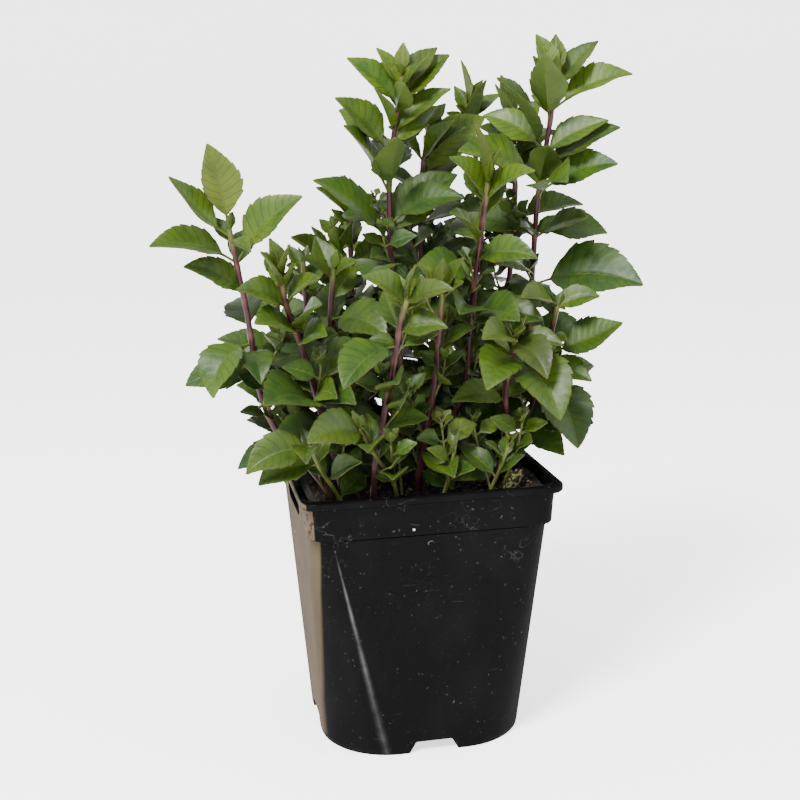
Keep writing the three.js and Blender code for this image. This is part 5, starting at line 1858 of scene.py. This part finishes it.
class MINT_OT_soil(bpy.types.Operator):
    """Makes the soil with its crumbs and moss"""

    bl_idname = "mint.soil"
    bl_label = "Soil"

    def execute(self, context):
        settings = context.scene.mint_soil
        earth = soil_material("potting_soil_crumbs", settings, 1.0)
        points, faces = loft(soil_rings())
        ball = bpy.data.meshes.new("root_ball")
        ball.from_pydata((points * MM).tolist(), [], faces)
        # The root ball's soil is a copy at 0.3 of the crumbs' colour, as painted shade.
        ball.materials.append(soil_material("potting_soil_painted_shade", settings, 0.3))
        smooth(ball, 60)
        piece_of("root_ball", ball, "potting_soil", "soil")
        crumbs = {
            "Density": settings.crumb_density, "Smallest": 0.0005, "Largest": settings.crumb_size,
            "Slimness": 0.7, "Seed": 3, "Least mask": 0.5, "Material": earth,
        }
        piece_of("soil_crumbs", scattered(points, faces, "crumbs", on_top, crumbs), "potting_soil")
        fibres = {
            "Density": 9000.0, "Smallest": 0.0016, "Largest": 0.005,
            "Slimness": 0.12, "Seed": 8, "Least mask": 0.5, "Material": earth,
        }
        piece_of("soil_fibres", scattered(points, faces, "fibres", on_top, fibres), "potting_soil")
        tufts = {
            "Density": settings.moss_density, "Smallest": 0.0003, "Largest": 0.0011,
            "Slimness": 0.6, "Seed": 5, "Least mask": 0.5, "Material": moss_material(settings),
        }
        piece_of("moss", scattered(points, faces, "tufts", near_moss, tufts), "mint_green")
        return {"FINISHED"}


class MINT_OT_stems(bpy.types.Operator):
    """Makes every leafy stem and the young shoots between them"""

    bl_idname = "mint.stems"
    bl_label = "Leafy stems"

    def execute(self, context):
        settings = context.scene.mint_plant
        growth = Growth()
        growth.grow_like_solids()
        growth.grow_more()
        growth.grow_young_shoots(settings.young_shoots)
        tree, identifiers = stem_tree()
        bark = bark_material(settings)
        blades = [
            leaf_material("mint_leaf", settings, False),
            leaf_material("mint_leaf_under", settings, True),
        ]
        values = {"Corner rounding": settings.corner_rounding, "Bark": bark}
        looks = random.Random(LOOK_SEED)
        for stem in STEMS:
            skin = Skin()
            add_leafy_stem(skin, stem, growth, looks, settings)
            mesh = skin.mesh(stem.name, blades)
            made = shaped_by(mesh, f"{stem.name}_leafy", tree, identifiers, values)
            smooth(made, 50)
            piece_of(f"{stem.name}_leafy", made, "mint_green", stem.name)
        skin = Skin()
        for owner in growth.leaves:
            if owner.startswith("young"):
                add_young_shoot(skin, owner, growth, looks, settings)
        made = shaped_by(skin.mesh("young", blades), "young_shoots", tree, identifiers, values)
        smooth(made, 50)
        piece_of("young_shoots", made, "mint_green")
        return {"FINISHED"}


class MINT_PT_panel(bpy.types.Panel):
    """The pot of mint's settings and parts"""

    bl_idname = "MINT_PT_panel"
    bl_label = "Potted mint"
    bl_space_type = "VIEW_3D"
    bl_region_type = "UI"
    bl_category = "Mint"

    def draw(self, context):
        for settings, operator in PARTS:
            box = self.layout.box()
            group = getattr(context.scene, settings)
            for name in group.__annotations__:
                box.prop(group, name)
            box.operator(operator.bl_idname)


PARTS = [
    ("mint_stage", MINT_OT_stage),
    ("mint_pot", MINT_OT_pot),
    ("mint_soil", MINT_OT_soil),
    ("mint_plant", MINT_OT_stems),
]
SETTINGS = {
    "mint_stage": StageSettings,
    "mint_pot": PotSettings,
    "mint_soil": SoilSettings,
    "mint_plant": PlantSettings,
}


def register():
    for name, settings in SETTINGS.items():
        bpy.utils.register_class(settings)
        setattr(bpy.types.Scene, name, PointerProperty(type=settings))
    for _, operator in PARTS:
        bpy.utils.register_class(operator)
    bpy.utils.register_class(MINT_PT_panel)


def unregister():
    bpy.utils.unregister_class(MINT_PT_panel)
    for _, operator in reversed(PARTS):
        bpy.utils.unregister_class(operator)
    for name, settings in reversed(SETTINGS.items()):
        delattr(bpy.types.Scene, name)
        bpy.utils.unregister_class(settings)


def main():
    register()
    bpy.ops.mint.stage()
    bpy.ops.mint.pot()
    bpy.ops.mint.soil()
    bpy.ops.mint.stems()
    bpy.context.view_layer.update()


if __name__ == "__main__":
    main()
